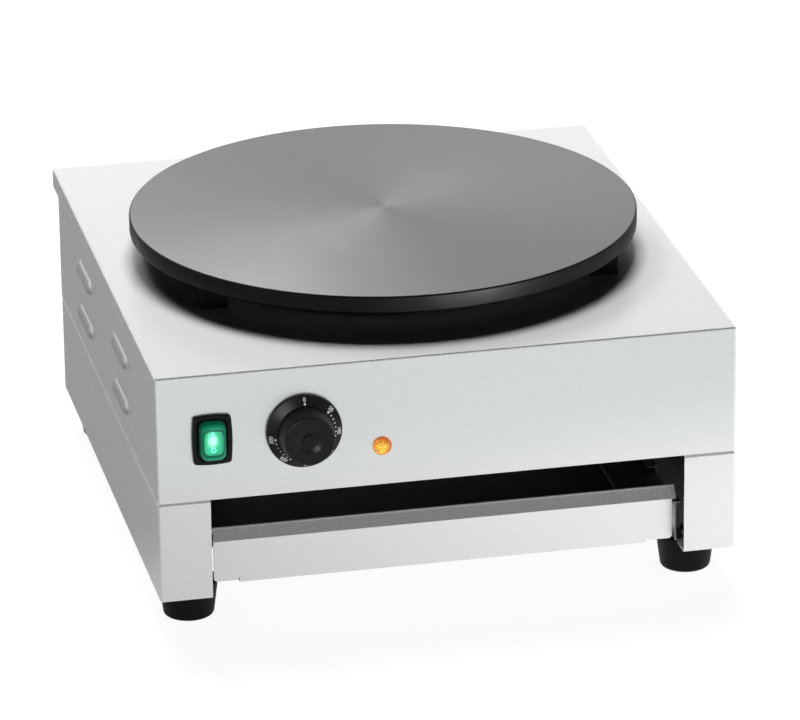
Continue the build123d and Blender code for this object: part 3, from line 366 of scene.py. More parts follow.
def cast_skin():
    """Pitted grain of a casting or a baked paint, and cloudy patches."""
    group, given, result = shader_group("cast_skin", {"Grain": 900.0}, ("Height", "Patch"))
    place = object_place(group)
    feed(result, Height=noise(group, place, given["Grain"], 4.0, 0.65),
         Patch=noise(group, place, 25.0, 3.0))


# ---------------------------------------------------------------------------- materials
def preset(node, values):
    """Sets constant values of a node's inputs, their names written as for feed."""
    for name, value in values.items():
        node.inputs[name.replace("_", " ")].default_value = value


def new_material(name, **values):
    """A material with one Principled shader, its constant values set on the shader."""
    made = bpy.data.materials.new(name)
    made.use_nodes = True
    shader = made.node_tree.nodes["Principled BSDF"]
    preset(shader, values)
    return made, made.node_tree, shader


def use_group(tree, name, **inputs):
    """Places a shader node group, with its own values."""
    made = put(tree, "ShaderNodeGroup", node_tree=bpy.data.node_groups[name])
    preset(made, inputs)
    return made.outputs


def bumped(shader, height, distance):
    """Feeds a height to the shader's normal."""
    bump = put(shader.id_data, "ShaderNodeBump", {"Height": height, "Distance": distance,
                                                  "Strength": 1.0})
    feed(shader, Normal=bump.outputs[0])


BRUSHED_SHEEN = 0.4                      # how far a sheen spreads across the brush lines


def brush(tree, shader, grain, roughness):
    """Lays brush lines into the satin of a shader, nearly along X."""
    streak = settings("steel").streak
    feed(shader, Tangent=combined(tree, 1.0, 0.1),
         Roughness=maths(tree, "ADD", spread(tree, grain["Streak"], -streak, streak),
                         roughness))


def casing_steel():
    """Finely brushed stainless, hazed by heat on top, with painted shade darkening the louvers.
    """
    steel = settings("steel")
    tint = steel.casing_tint
    made, tree, shader = new_material("brushed_stainless", Anisotropic=BRUSHED_SHEEN,
                                      Specular_IOR_Level=0.1)
    grain = use_group(tree, "brushed_grain", Lines=steel.grain_lines * steel.fineness,
                      Side=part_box("hot_plate")[1].x + 25.0 * MM)
    brush(tree, shader, grain, steel.roughness)
    # Painted shade: the louvers, beyond Side, darkened to a share of the tint
    feed(shader, Base_Color=mixed(tree, grain["Vent"], four(tint), four(tint, steel.vent_painted_shade)),
         Metallic=remap(tree, grain["Top"], 0.0, 1.0, steel.metal, steel.top_metal))
    return made


def sheet_steel(name, tint, roughness, depth_share=1.0, metal=1.0):
    """Sheet metal whose sheen spreads across its brush lines."""
    steel = settings("steel")
    made, tree, shader = new_material(name, Base_Color=four(tint), Metallic=metal,
                                      Anisotropic=BRUSHED_SHEEN)
    grain = use_group(tree, "brushed_grain", Lines=steel.grain_lines)
    brush(tree, shader, grain, remap(tree, grain["Smudge"], 0.35, 0.7, roughness - 0.005,
                                     roughness + 0.01))
    bumped(shader, grain["Streak"], steel.grain_depth * depth_share)
    return made


def zinc_sheet(name, tint, roughness):
    """Galvanised sheet with its frosty spangle."""
    made, tree, shader = new_material(name, Metallic=1.0)
    spangle = put(tree, "ShaderNodeTexVoronoi", {"Vector": object_place(tree),
                                                 "Scale": 130.0}).outputs
    cell = put(tree, "ShaderNodeSeparateColor", {0: spangle["Color"]}).outputs[0]
    feed(shader, Base_Color=mixed(tree, cell, four(tint, 0.82), four(tint, 1.06)),
         Roughness=remap(tree, cell, 0.0, 1.0, roughness - 0.06, roughness + 0.08))
    bumped(shader, spangle["Distance"], 0.02 * MM)
    return made


def grained(name, group, mask, tint, change, satin, grain, depth, values):
    """A surface with a fine grain, whose shade and satin change slowly over it."""
    made, tree, shader = new_material(name, **values)
    skin = use_group(tree, group, Grain=grain)
    feed(shader, Base_Color=mixed(tree, skin[mask], four(tint, 1.0 - change),
                                  four(tint, 1.0 + change)),
         Roughness=spread(tree, skin[mask], *satin))
    bumped(shader, skin["Height"], depth)
    return made


def moulded(name, tint, roughness, grain=5200.0, depth=0.012 * MM, **values):
    """Moulded plastic or rubber."""
    satin = (roughness - 0.04, roughness + 0.04)
    return grained(name, "moulded_skin", "Sheen", tint, 0.15, satin, grain, depth, values)


def cast(name, tint, roughness, grain=900.0, depth=0.05 * MM, **values):
    """A casting, a baked paint, or a pressed fibre."""
    satin = (roughness - 0.05, roughness + 0.06)
    return grained(name, "cast_skin", "Patch", tint, 0.25, satin, grain, depth, values)


def ground_iron():
    """Top of the hot plate: ground in rings, then seasoned to an even grey."""
    plate = settings("plate")
    tint = plate.ground_tint
    centre, _, _ = round_box("hot_plate", 2)
    made, tree, shader = new_material("ground_iron", Metallic=0.9, Anisotropic=0.3,
                                      Anisotropic_Rotation=0.25)
    rings = use_group(tree, "turned_rings", Centre_X=centre.x, Centre_Y=centre.y,
                      Pitch=plate.ring_pitch)
    season = mixed(tree, remap(tree, rings["Patch"], 0.3, 0.72), four(tint, 0.93),
                   four(tint, 1.05))
    satin = spread(tree, rings["Patch"], plate.roughness - 0.03, plate.roughness + 0.04)
    feed(shader, Base_Color=mixed(tree, spread(tree, rings["Ring"]), season, four(tint)),
         Roughness=maths(tree, "ADD", spread(tree, rings["Ring"], -0.03, 0.03), satin),
         Tangent=put(tree, "ShaderNodeTangent", direction_type="RADIAL", axis="Z").outputs[0])
    bumped(shader, rings["Ring"], 0.008 * MM)
    return made


def print_ink(name, tint, lit=0.0):
    """Printed marks, which may be lit from behind."""
    made, tree, shader = new_material(name, Roughness=0.45, Emission_Color=four(tint),
                                      Emission_Strength=lit)
    wear = noise(tree, object_place(tree), 1500.0, 3.0)
    feed(shader, Base_Color=mixed(tree, remap(tree, wear, 0.3, 0.6), four(tint, 0.8),
                                  four(tint)))
    return made


def glow_spot(tree, centre, factors, reach):
    """A soft spot of light round a point: 1 in the middle and 0 at its reach."""
    return remap(tree, distance_from(tree, tuple(centre), factors), 0.0, reach, 1.0, 0.0)


def lit_rocker():
    """Green rocker, lit from inside with a bright spot in front of its lamp, its colour darkened
    towards its edges as painted shade.
    """
    switch = settings("switch")
    tint = switch.glow_tint
    low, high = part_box("rocker")
    centre = (low + high) / 2
    made, tree, shader = new_material("lit_rocker", Roughness=0.3,
                                      Emission_Strength=switch.glow)
    spot = glow_spot(tree, centre + Vector((-0.0004, 0, 0.0040)), (1.0, 0.0, 0.7), 0.0050)
    edge = glow_spot(tree, centre, (1.0, 0.0, 0.62), 0.0095)
    glow = mixed(tree, edge, four(tint, 0.45), four(tint, 1.1))
    # Painted shade: the colour, like the glow, falls off towards the rocker's edges
    feed(shader, Base_Color=mixed(tree, edge, four(tint, 0.35), four(tint)),
         Emission_Color=mixed(tree, spot, glow, four(switch.hot_tint)))
    return made


def clear_cover():
    """Clear green cover over the rocker: a thin pad in a thick, dark border, darker towards its
    base, with painted shade at the border's outer edge and a painted glow of the rocker's lamp.
    """
    switch = settings("switch")
    tint = switch.cover_tint
    made, tree, shader = new_material("clear_cover", IOR=1.34, Transmission_Weight=0.82,
                                      Emission_Strength=0.5)
    skin = use_group(tree, "moulded_skin", Grain=900.0)
    low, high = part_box("switch_cover")
    centre = (low + high) / 2
    parts = axes(tree, object_place(tree))
    border = mixed(tree, skin["Sheen"], four(tint, 0.9), four(tint))
    # Darker towards the cover's base, near the bezel
    border = mixed(tree, remap(tree, parts[1], low.y + 1.0 * MM, low.y + 3.2 * MM), border,
                   four(tint, 0.06))
    squares = [maths(tree, "POWER", maths(tree, "ABSOLUTE", maths(
        tree, "DIVIDE", maths(tree, "SUBTRACT", parts[axis], centre[axis]), half)), 4.0)
               for axis, half in ((0, 7.9 * MM), (2, 10.2 * MM))]
    pad = maths(tree, "ADD", *squares)
    # Painted shade: the border darkened towards its outer edge, where the shoulders curve away
    border = mixed(tree, remap(tree, pad, 1.0, 1.7, 1.0, 0.0), border, four(tint, 0.12))
    # Painted glow: a soft spot of the rocker's lamp light, laid into the cover's own emission
    painted_glow_spot = glow_spot(tree, centre + Vector((-0.9 * MM, 0, 1.9 * MM)), (1.0, 0.0, 0.75),
                     5.6 * MM)
    feed(shader, Base_Color=mixed(tree, remap(tree, pad, 0.62, 0.95, 1.0, 0.0), border,
                                  four(switch.window_tint)),
         Roughness=spread(tree, skin["Sheen"], 0.05, 0.14),
         Emission_Color=mixed(tree, painted_glow_spot, four(switch.band_tint), four(switch.hot_tint)))
    bumped(shader, skin["Height"], 0.01 * MM)
    return made


def lit_lens():
    """Amber lens with the lamp's light in its middle."""
    lamp = settings("lamp")
    centre, radius, _ = round_box("lamp_lens", 1)
    made, tree, shader = new_material("lit_lens", Roughness=0.12, IOR=1.5,
                                      Emission_Strength=lamp.glow)
    core_at = centre + Vector((-0.15 * radius, 0, -0.12 * radius))
    sparkle = put(tree, "ShaderNodeTexVoronoi", {"Vector": object_place(tree),
                                                 "Scale": 620.0}).outputs["Distance"]
    glitter = remap(tree, sparkle, 0.1, 0.7, 1.3, 0.4)
    lit = four(lamp.rim_tint)
    for reach, tint in ((1.25, lamp.amber_tint), (1.35, lamp.core_tint)):
        spot = glow_spot(tree, core_at, (1.0, 0.0, 1.0), radius * reach)
        lit = mixed(tree, maths(tree, "MULTIPLY", spot, glitter), lit, four(tint))
    feed(shader, Base_Color=scaled(tree, lit, (0.25, 0.25, 0.25)), Emission_Color=lit)
    return made


def make_finishes():
    """Every finish of the object, by the record's name for it."""
    steel, knob, switch, plate = (settings(part) for part in ("steel", "knob", "switch", "plate"))
    for build in (brushed_grain, turned_rings, moulded_skin, cast_skin):
        build()
    return {
        "casing_steel": casing_steel(),
        "rear_steel": sheet_steel("plain_stainless", steel.rear_tint, steel.roughness + 0.05,
                                  metal=0.85),
        # The tray's darker tint is painted shade of the drawer's inside
        "tray_steel": sheet_steel("tray_stainless", steel.tray_painted_shade_tint, steel.roughness + 0.06),
        "inner_steel": zinc_sheet("galvanised_sheet", steel.zinc_tint, 0.42),
        "rail_steel": sheet_steel("rail_steel", steel.rail_tint, 0.40, 0.5),
        "pan_steel": cast("baked_black_paint", (0.006, 0.006, 0.006), 0.5, 2400.0, 0.02 * MM,
                          Specular_IOR_Level=0.05),
        "cast_iron": cast("seasoned_iron", plate.skin_tint, 0.42, 1100.0, 0.02 * MM,
                          Specular_IOR_Level=0.13),
        "element_sheath": cast("heater_sheath", (0.13, 0.12, 0.11), 0.5, 1600.0, 0.01 * MM,
                               Metallic=0.8),
        "contact_metal": sheet_steel("plain_brass", (0.75, 0.58, 0.28), 0.30, 0.3),
        "ceramic": moulded("glazed_ceramic", (0.84, 0.81, 0.75), 0.18),
        "mineral_wool": cast("pressed_wool", (0.62, 0.58, 0.50), 0.9, 500.0, 0.4 * MM),
        "zinc_steel": sheet_steel("zinc_plate", (0.62, 0.62, 0.61), 0.26, 0.5),
        "rubber": moulded("black_rubber", (0.003, 0.003, 0.003), 0.55, 3800.0, 0.02 * MM,
                          Specular_IOR_Level=0.12),
        "dark_phenolic": cast("dark_phenolic", (0.030, 0.022, 0.018), 0.4, 2600.0, 0.01 * MM),
        "copper": sheet_steel("drawn_copper", (0.72, 0.38, 0.24), 0.3, 0.3),
        "black_knob": moulded("knob_moulding", knob.tint, 0.34, 6500.0, 0.006 * MM,
                              Specular_IOR_Level=0.16),
        "black_plastic": moulded("black_moulding", switch.bezel_tint, 0.27, 6000.0,
                                 0.004 * MM, Specular_IOR_Level=0.2),
        "amber_lens": lit_lens(),
        "green_cover": clear_cover(),
        "green_rocker": lit_rocker(),
        "white_plastic": moulded("white_moulding", (0.80, 0.80, 0.76), 0.35),
        "wire_sleeve": moulded("silicone_sleeve", (0.45, 0.035, 0.02), 0.5),
    }


# -------------------------------------------------------------------------- mesh tools
ARC_STEPS = 5                            # steps of a rounding on a lathe's profile
CORNER_STEPS, SIDE_STEPS = 8, 10         # steps of an outline's corners and sides
DOT_SIDES = 14                           # sides of a printed dot
FINISHES = {}                            # by the record's names, once they are made


def in_scene(name, data):
    """A new object in the scene."""
    made = bpy.data.objects.new(name, data)
    bpy.context.scene.collection.objects.link(made)
    return made


def mesh_from(name, source):
    """A mesh from a bmesh, which is freed."""
    mesh = bpy.data.meshes.new(name)
    source.to_mesh(mesh)
    source.free()
    return mesh


def round_box(node, axis):
    """Centre, radius and two ends of a round node whose axis is 0, 1 or 2 for X, Y or Z."""
    low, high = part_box(node)
    size = [high[i] - low[i] for i in range(3) if i != axis]
    return (low + high) / 2, max(size) / 2, (low[axis], high[axis])


def rounded_profile(corners):
    """A profile of (radius, height, rounding) corners, each rounding drawn as an arc."""
    made = []
    for index, (radius, height, rounding) in enumerate(corners):
        here = Vector((radius, height))
        if rounding == 0:
            made.append(here)
            continue
        before = (Vector(corners[index - 1][:2]) - here).normalized()
        after = (Vector(corners[index + 1][:2]) - here).normalized()
        half = before.angle(after) / 2
        reach = rounding / (sin(half) / cos(half))
        centre = here + (before + after).normalized() * rounding / sin(half)
        start = here + before * reach - centre
        turn = start.angle_signed(here + after * reach - centre)
        for step in range(ARC_STEPS + 1):
            spin = Matrix.Rotation(-turn * step / ARC_STEPS, 2)
            made.append(centre + spin @ start)
    return made


def lathe(profile, origin, axis, segments):
    """A round solid: (radius, height) points turned about an axis, heights along it."""
    axis = Vector(axis)
    side = axis.orthogonal().normalized()
    other = axis.cross(side)
    mesh = bmesh.new()
    rows = []
    for radius, height in profile:
        base = Vector(origin) + axis * height
        if radius < 1e-9:
            rows.append([mesh.verts.new(base)])
            continue
        rows.append([mesh.verts.new(base + radius * (cos(turn) * side + sin(turn) * other))
                     for turn in (2 * pi * step / segments for step in range(segments))])
    for first, second in zip(rows, rows[1:]):
        for step in range(segments):
            corners = [first[step % len(first)], first[(step + 1) % len(first)],
                       second[(step + 1) % len(second)], second[step % len(second)]]
            corners = list(dict.fromkeys(corners))
            if len(corners) > 2:
                mesh.faces.new(corners)
    bmesh.ops.recalc_face_normals(mesh, faces=mesh.faces)
    return mesh


def outline(width, height, corner, bulge):
    """A rounded rectangle about the origin, its sides bowed outwards in the middle."""
    points = []
    for quarter in range(4):
        turn = quarter * pi / 2
        sign_x, sign_y = ((1, 1), (-1, 1), (-1, -1), (1, -1))[quarter]
        centre = Vector((sign_x * (width / 2 - corner), sign_y * (height / 2 - corner)))
        for step in range(CORNER_STEPS + 1):
            bend = turn + pi / 2 * step / CORNER_STEPS
            points.append(centre + corner * Vector((cos(bend), sin(bend))))
        last = points[-1]
        straight = (width if quarter % 2 == 0 else height) - 2 * corner
        run = Vector((cos(turn + pi), sin(turn + pi))) * straight
        for step in range(1, SIDE_STEPS):
            points.append(last + run * step / SIDE_STEPS)
    bowed = []
    for point in points:
        push_x = bulge * (1 - (2 * point.y / height) ** 2) * (2 * point.x / width)
        push_y = bulge * (1 - (2 * point.x / width) ** 2) * (2 * point.y / height)
        bowed.append(point + Vector((push_x, push_y)))
    return bowed


def loft(rings):
    """A skin over rings of as many points each, its last ring joined to its first."""
    mesh = bmesh.new()
    rows = [[mesh.verts.new(point) for point in ring] for ring in rings]
    for first, second in zip(rows, rows[1:] + rows[:1]):
        count = len(first)
        for step in range(count):
            mesh.faces.new((first[step], first[(step + 1) % count],
                            second[(step + 1) % count], second[step]))
    bmesh.ops.recalc_face_normals(mesh, faces=mesh.faces)
    return mesh


def stacked(rows, centre, panel):
    """A skin over outlines stood up on the front panel.

    A row is an outline's width, height, corner and bulge, and how far it stands out.
    """
    return loft([[Vector((centre.x + point.x, panel - out, centre.z + point.y))
                  for point in outline(*shape)] for *shape, out in rows])


def piece(name, mesh, body, slot, replaced=(), smooth=35.0, materials=None):
    """Makes a finished piece from a bmesh or a mesh, and puts it on its body."""
    if isinstance(mesh, bmesh.types.BMesh):
        mesh = mesh_from(name, mesh)
    mesh.name = name
    if not mesh.materials:
        for material in materials or [FINISHES[slot]]:
            mesh.materials.append(material)
    if smooth:
        mesh.polygons.foreach_set("use_smooth", [True] * len(mesh.polygons))
        mesh.set_sharp_from_angle(angle=radians(smooth))
    made = in_scene(name, mesh)
    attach(made, body)
    if replaced:
        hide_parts(*replaced)
    return made


def evaluated_mesh(source):
    """The plain mesh that an object's modifiers or text give; the object is removed."""
    bpy.context.view_layer.update()
    graph = bpy.context.evaluated_depsgraph_get()
    mesh = bpy.data.meshes.new_from_object(source.evaluated_get(graph))
    bpy.data.objects.remove(source)
    return mesh


def text_mesh(words, size, depth, stroke):
    """Letters as a thin solid, thickened by a stroke and centred, their feet on the X axis."""
    curve = bpy.data.curves.new("letters", "FONT")
    curve.body = words
    curve.size = size
    curve.align_x = "CENTER"
    curve.extrude, curve.offset = depth / 2, stroke
    curve.resolution_u = 4
    return evaluated_mesh(in_scene("letters", curve))


def surface_of(source):
    """A searchable surface of an object's faces."""
    return BVHTree.FromPolygons([vertex.co.copy() for vertex in source.data.vertices],
                                [tuple(face.vertices) for face in source.data.polygons])


def print_on(surface, name, meshes, place, lift, ink, body, slot):
    """Lays flat meshes on a front surface as one piece.

    place(step, flat) gives x and z on the surface for a vertex of the mesh with that number.
    """
    in_front = CAD_BOX[0].y - 50.0 * MM
    joined = bmesh.new()
    for step, mesh in enumerate(meshes):
        for vertex in mesh.vertices:
            x, z = place(step, vertex.co)
            hit = surface.ray_cast(Vector((x, in_front, z)), Vector((0, 1, 0)))[0]
            vertex.co = Vector((x, hit.y - (vertex.co.z + lift), z))
        joined.from_mesh(mesh)
    bmesh.ops.recalc_face_normals(joined, faces=joined.faces)
    return piece(name, joined, body, slot, smooth=0, materials=[ink])


def solid_boxes(node):
    """The two corners of each separate solid of a CAD node, in a fixed order."""
    mesh = bmesh.new()
    mesh.from_mesh(frame["nodes"][node].data)
    bmesh.ops.remove_doubles(mesh, verts=mesh.verts, dist=1e-6)
    boxes, waiting = [], set(mesh.verts)
    while waiting:
        reached, found = [waiting.pop()], []
        while reached:
            vertex = reached.pop()
            found.append(vertex.co.copy())
            for edge in vertex.link_edges:
                other = edge.other_vert(vertex)
                if other in waiting:
                    waiting.discard(other)
                    reached.append(other)
        boxes.append((Vector(map(min, zip(*found))), Vector(map(max, zip(*found)))))
    mesh.free()
    return sorted(boxes, key=lambda box: tuple(round(value, 5) for value in box[0]))


# ---------------------------------------------------------------------- geometry nodes
def geometry_tree(name, inputs):
    """An empty Geometry Nodes tree with named number inputs, after its geometry."""
    tree = bpy.data.node_groups.new(name, "GeometryNodeTree")
    tree.interface.new_socket("Geometry", in_out="INPUT", socket_type="NodeSocketGeometry")
    for socket, value in inputs.items():
        kind = "NodeSocketInt" if isinstance(value, int) else "NodeSocketFloat"
        tree.interface.new_socket(socket, in_out="INPUT", socket_type=kind).default_value = value
    tree.interface.new_socket("Geometry", in_out="OUTPUT", socket_type="NodeSocketGeometry")
    return tree, put(tree, "NodeGroupInput").outputs, put(tree, "NodeGroupOutput").inputs


def grown(name, source, tree, values):
    """The mesh that a Geometry Nodes tree makes on a source mesh, with its inputs set."""
    holder = in_scene(name, source)
    modifier = holder.modifiers.new(name, "NODES")
    modifier.node_group = tree
    sockets = {item.name: item.identifier for item in tree.interface.items_tree
               if item.in_out == "INPUT"}
    for socket, value in values.items():
        modifier[sockets[socket]] = value
    return evaluated_mesh(holder)


def finish_tree(tree, geometry, result, material):
    """Ends a tree with real geometry that carries its material."""
    real = put(tree, "GeometryNodeRealizeInstances", {0: geometry}).outputs[0]
    dressed = put(tree, "GeometryNodeSetMaterial", {"Geometry": real, "Material": material})
    tree.links.new(dressed.outputs[0], result[0])


def dots_tree(material):
    """Round dots along an arc of a ring in the XY plane, clockwise from the Y axis."""
    tree, given, result = geometry_tree(
        "dial_dots", {"Count": 26, "Ring": 0.0236, "Dot": 0.0004, "First": 0.87, "Last": 4.56,
                      "Depth": 0.0001})
    row = put(tree, "GeometryNodeMeshLine", {"Count": given["Count"]}).outputs[0]
    index = put(tree, "GeometryNodeInputIndex").outputs[0]
    steps = maths(tree, "MAXIMUM", maths(tree, "SUBTRACT", given["Count"], 1.0), 1.0)
    along = maths(tree, "DIVIDE", index, steps)
    span = maths(tree, "SUBTRACT", given["Last"], given["First"])
    turn = maths(tree, "ADD", given["First"], maths(tree, "MULTIPLY", along, span))
    spot = combined(tree, maths(tree, "MULTIPLY", given["Ring"], maths(tree, "SINE", turn)),
                    maths(tree, "MULTIPLY", given["Ring"], maths(tree, "COSINE", turn)))
    placed = put(tree, "GeometryNodeSetPosition", {"Geometry": row, "Position": spot}).outputs[0]
    dot = put(tree, "GeometryNodeMeshCylinder", {
        "Vertices": DOT_SIDES, "Radius": given["Dot"], "Depth": given["Depth"]}).outputs[0]
    dots = put(tree, "GeometryNodeInstanceOnPoints", {"Points": placed,
                                                      "Instance": dot}).outputs[0]
    finish_tree(tree, dots, result, material)
    return tree


def copies_tree(material, original):
    """A copy of one object at each point of the source mesh."""
    tree, given, result = geometry_tree("fastener_copies", {})
    shape = put(tree, "GeometryNodeObjectInfo", {"Object": original}).outputs["Geometry"]
    copies = put(tree, "GeometryNodeInstanceOnPoints", {"Points": given[0],
                                                        "Instance": shape}).outputs[0]
    finish_tree(tree, copies, result, material)
    return tree


def copied(name, original, spots, material):
    """One mesh of copies of a bmesh, one at each spot."""
    shape = mesh_from(name + "_one", original)
    shape.polygons.foreach_set("use_smooth", [True] * len(shape.polygons))
    single = in_scene(shape.name, shape)
    points = bpy.data.meshes.new(name + "_spots")
    points.from_pydata([tuple(spot) for spot in spots], [], [])
    made = grown(name, points, copies_tree(material, single), {})
    bpy.data.objects.remove(single)
    return made


# ------------------------------------------------------------------------------- stage
def look_from(azimuth, elevation, roll=0.0):
    """A camera's turn, looking inwards from an angle round and above the object."""
    back = Vector((sin(azimuth) * cos(elevation), -cos(azimuth) * cos(elevation),
                   sin(elevation)))
    right = Vector((0, 0, 1)).cross(back).normalized()
    up = back.cross(right)
    turned_right = cos(roll) * right + sin(roll) * up
    turned_up = cos(roll) * up - sin(roll) * right
    return back, Matrix((turned_right, turned_up, back)).transposed().to_4x4()


GLOSS_LAMPS = ("sheen_lamp", "fan_lamp", "skirt_lamp")      # each lights one piece's gloss


class CREPE_OT_stage(bpy.types.Operator):
    """Makes the camera, the lamps, the world and the floor"""
    bl_idname = "crepe.stage"
    bl_label = "Stage"

    def execute(self, context):
        stage = settings("stage")
        self.make_camera(context, stage)
        self.make_world(context, stage)
        self.make_floor(stage)
        for name, watts, size, azimuth, elevation, distance in (
                ("top_lamp", stage.top_power, (1.7, 1.7), 172.0, 66.0, 4.5),
                ("left_lamp", stage.left_power, (0.9, 0.9), -160.0, 44.0, 3.0),
                ("front_lamp", stage.front_power, (1.6, 0.2), 12.0, 0.0, 2.6),
                ("sheen_lamp", stage.sheen_power, (0.35, 0.2), 26.0, 0.0, 1.1),
                ("fan_lamp", stage.fan_power, (0.5, 0.5), -145.0, 63.0, 1.3),
                ("skirt_lamp", stage.skirt_power, (0.4, 0.4), -28.0, 18.0, 1.1),
                ("right_lamp", stage.side_power, (1.4, 0.2), 95.0, 0.0, 2.6),
                ("rear_lamp", stage.rear_power, (1.6, 0.2), 170.0, 0.0, 2.6)):
            lamp = self.make_lamp(name, watts, size, radians(azimuth), radians(elevation),
                                  distance)
            gloss_only = name in GLOSS_LAMPS
            lamp.visible_diffuse, lamp.visible_glossy = not gloss_only, gloss_only
            if gloss_only:
                lamp.light_linking.receiver_collection = bpy.data.collections.new(name)
        return {"FINISHED"}

    def make_camera(self, context, stage):
        """The camera, aimed at its target."""
        camera = in_scene("camera", bpy.data.cameras.new("camera"))
        back, turn = look_from(stage.azimuth, stage.elevation, stage.roll)
        camera.matrix_world = Matrix.Translation(Vector(stage.target)
                                                 + back * stage.distance) @ turn
        camera.data.sensor_width = 36.0
        camera.data.lens = stage.lens
        camera.data.clip_start, camera.data.clip_end = 0.05, 60.0
        context.scene.camera = camera
        context.scene.view_settings.view_transform = "Standard"

    def make_lamp(self, name, watts, size, azimuth, elevation, distance):
        """A soft lamp of a width and a height, aimed at the object's middle."""
        light = bpy.data.lights.new(name, "AREA")
        light.shape, light.energy = "RECTANGLE", watts
        light.size, light.size_y = size
        lamp = in_scene(name, light)
        back, turn = look_from(azimuth, elevation)
        middle = (CAD_BOX[0] + CAD_BOX[1]) / 2
        lamp.matrix_world = Matrix.Translation(middle + back * distance) @ turn
        return lamp

    def make_world(self, context, stage):
        """White where it is seen or mirrored, and a plain level of light elsewhere."""
        world = bpy.data.worlds.new("studio")
        world.use_nodes = True
        context.scene.world = world
        tree = world.node_tree
        tree.nodes.clear()
        path = put(tree, "ShaderNodeLightPath").outputs
        heading = put(tree, "ShaderNodeTexCoord").outputs["Generated"]
        _, north, upward = axes(tree, heading)
        behind = maths(tree, "MULTIPLY", remap(tree, north, 0.10, 0.45),
                       remap(tree, upward, 0.62, 0.86, 1.0, 0.0))
        panel_at, _ = look_from(radians(24.0), radians(21.0))
        facing = put(tree, "ShaderNodeVectorMath", {0: heading, 1: tuple(panel_at)},
                     operation="DOT_PRODUCT").outputs["Value"]
        panel = maths(tree, "MULTIPLY", remap(tree, facing, 0.90, 0.985), stage.panel)
        low_side = maths(tree, "MULTIPLY", remap(tree, upward, 0.30, 0.75, 1.0, 0.0),
                         stage.low_side)
        bright = maths(tree, "MAXIMUM", maths(tree, "MAXIMUM", behind, panel), low_side)
        mirrored = maths(tree, "ADD", stage.ceiling,
                         maths(tree, "MULTIPLY", bright, stage.backdrop - stage.ceiling))
        plain = maths(tree, "ADD", stage.ambient,
                      maths(tree, "MULTIPLY", maths(tree, "MAXIMUM", path["Is Camera Ray"],
                                                    path["Is Transmission Ray"]),
                            1.0 - stage.ambient))
        strength = blended(tree, path["Is Glossy Ray"], plain, mirrored)
        background = put(tree, "ShaderNodeBackground", {"Color": grey(1.0),
                                                        "Strength": strength})
        put(tree, "ShaderNodeOutputWorld", {0: background.outputs[0]})

    def make_floor(self, stage):
        """A pale floor that keeps the object's shadow, and that sheet metal mirrors softly."""
        half = 12.0
        corners = [(-half, -half, 0), (half, -half, 0), (half, half, 0), (-half, half, 0)]
        mesh = bpy.data.meshes.new("floor")
        mesh.from_pydata(corners, [], [(0, 1, 2, 3)])
        floor = in_scene("floor", mesh)
        material = bpy.data.materials.new("pale_floor")
        mesh.materials.append(material)
        material.use_nodes = True
        tree = material.node_tree
        tree.nodes.clear()
        path = put(tree, "ShaderNodeLightPath").outputs
        glow = put(tree, "ShaderNodeEmission", {"Color": grey(1.0),
                                                "Strength": stage.floor_glow})
        paint = put(tree, "ShaderNodeBsdfDiffuse", {"Color": grey(stage.floor_paint)})
        seen = put(tree, "ShaderNodeAddShader", {0: glow.outputs[0], 1: paint.outputs[0]})
        plain = put(tree, "ShaderNodeBsdfDiffuse", {"Color": grey(stage.floor_bounce)})
        x, y, _ = axes(tree, object_place(tree))
        cool_white = (0.765, 0.815, 0.805, 1.0)
        beside = mixed(tree, remap(tree, x, -0.55, 0.55), grey(0.45), grey(1.28))
        ahead = mixed(tree, remap(tree, y, -0.58, -0.46), cool_white, beside)
        shine = mixed(tree, remap(tree, y, -0.2, 0.0, 1.0, 0.0), grey(0.36), ahead)
        mirrored = put(tree, "ShaderNodeEmission", {"Color": shine, "Strength": 1.0})
        whole = put(tree, "ShaderNodeMixShader", {0: path["Is Diffuse Ray"],
                                                  1: seen.outputs[0], 2: plain.outputs[0]})
        whole = put(tree, "ShaderNodeMixShader", {0: path["Is Glossy Ray"],
                                                  1: whole.outputs[0], 2: mirrored.outputs[0]})
        put(tree, "ShaderNodeOutputMaterial", {0: whole.outputs[0]})


# ------------------------------------------------------------------------------ pieces
class CREPE_OT_finishes(bpy.types.Operator):
    """Makes every finish and puts it on the pieces that the CAD model holds"""
    bl_idname = "crepe.finishes"
    bl_label = "Finishes"

    def execute(self, context):
        FINISHES.update(make_finishes())
        for part in frame["record"]["subparts"]:
            node = frame["nodes"][part["node"]]
            node.data.materials.clear()
            node.data.materials.append(FINISHES[part["material_slot"]])
        return {"FINISHED"}


class CREPE_OT_hot_plate(bpy.types.Operator):
    """Makes the hot plate, black all round with a ground top"""
    bl_idname = "crepe.hot_plate"
    bl_label = "Hot plate"

    def execute(self, context):
        plate = settings("plate")
        centre, radius, (bottom, top) = round_box("hot_plate", 2)
        origin = Vector((centre.x, centre.y, 0))
        bevel, foot = plate.bevel, 2.0 * MM
        corners = [(0, bottom, 0), (radius, bottom, foot), (radius, top - bevel, 0.4 * MM),
                   (radius - bevel, top, 0.3 * MM), (0, top, 0)]
        mesh = lathe(rounded_profile(corners), origin, (0, 0, 1), plate.segments)
        for face in mesh.faces:
            face.material_index = int(face.calc_center_median().z > top - 0.02 * bevel)
        made = piece("griddle", mesh, "housing", "cast_iron", ["hot_plate"], smooth=25.0,
                     materials=[FINISHES["cast_iron"], ground_iron()])
        for lamp in ("sheen_lamp", "fan_lamp"):
            bpy.data.collections[lamp].objects.link(made)
        return {"FINISHED"}


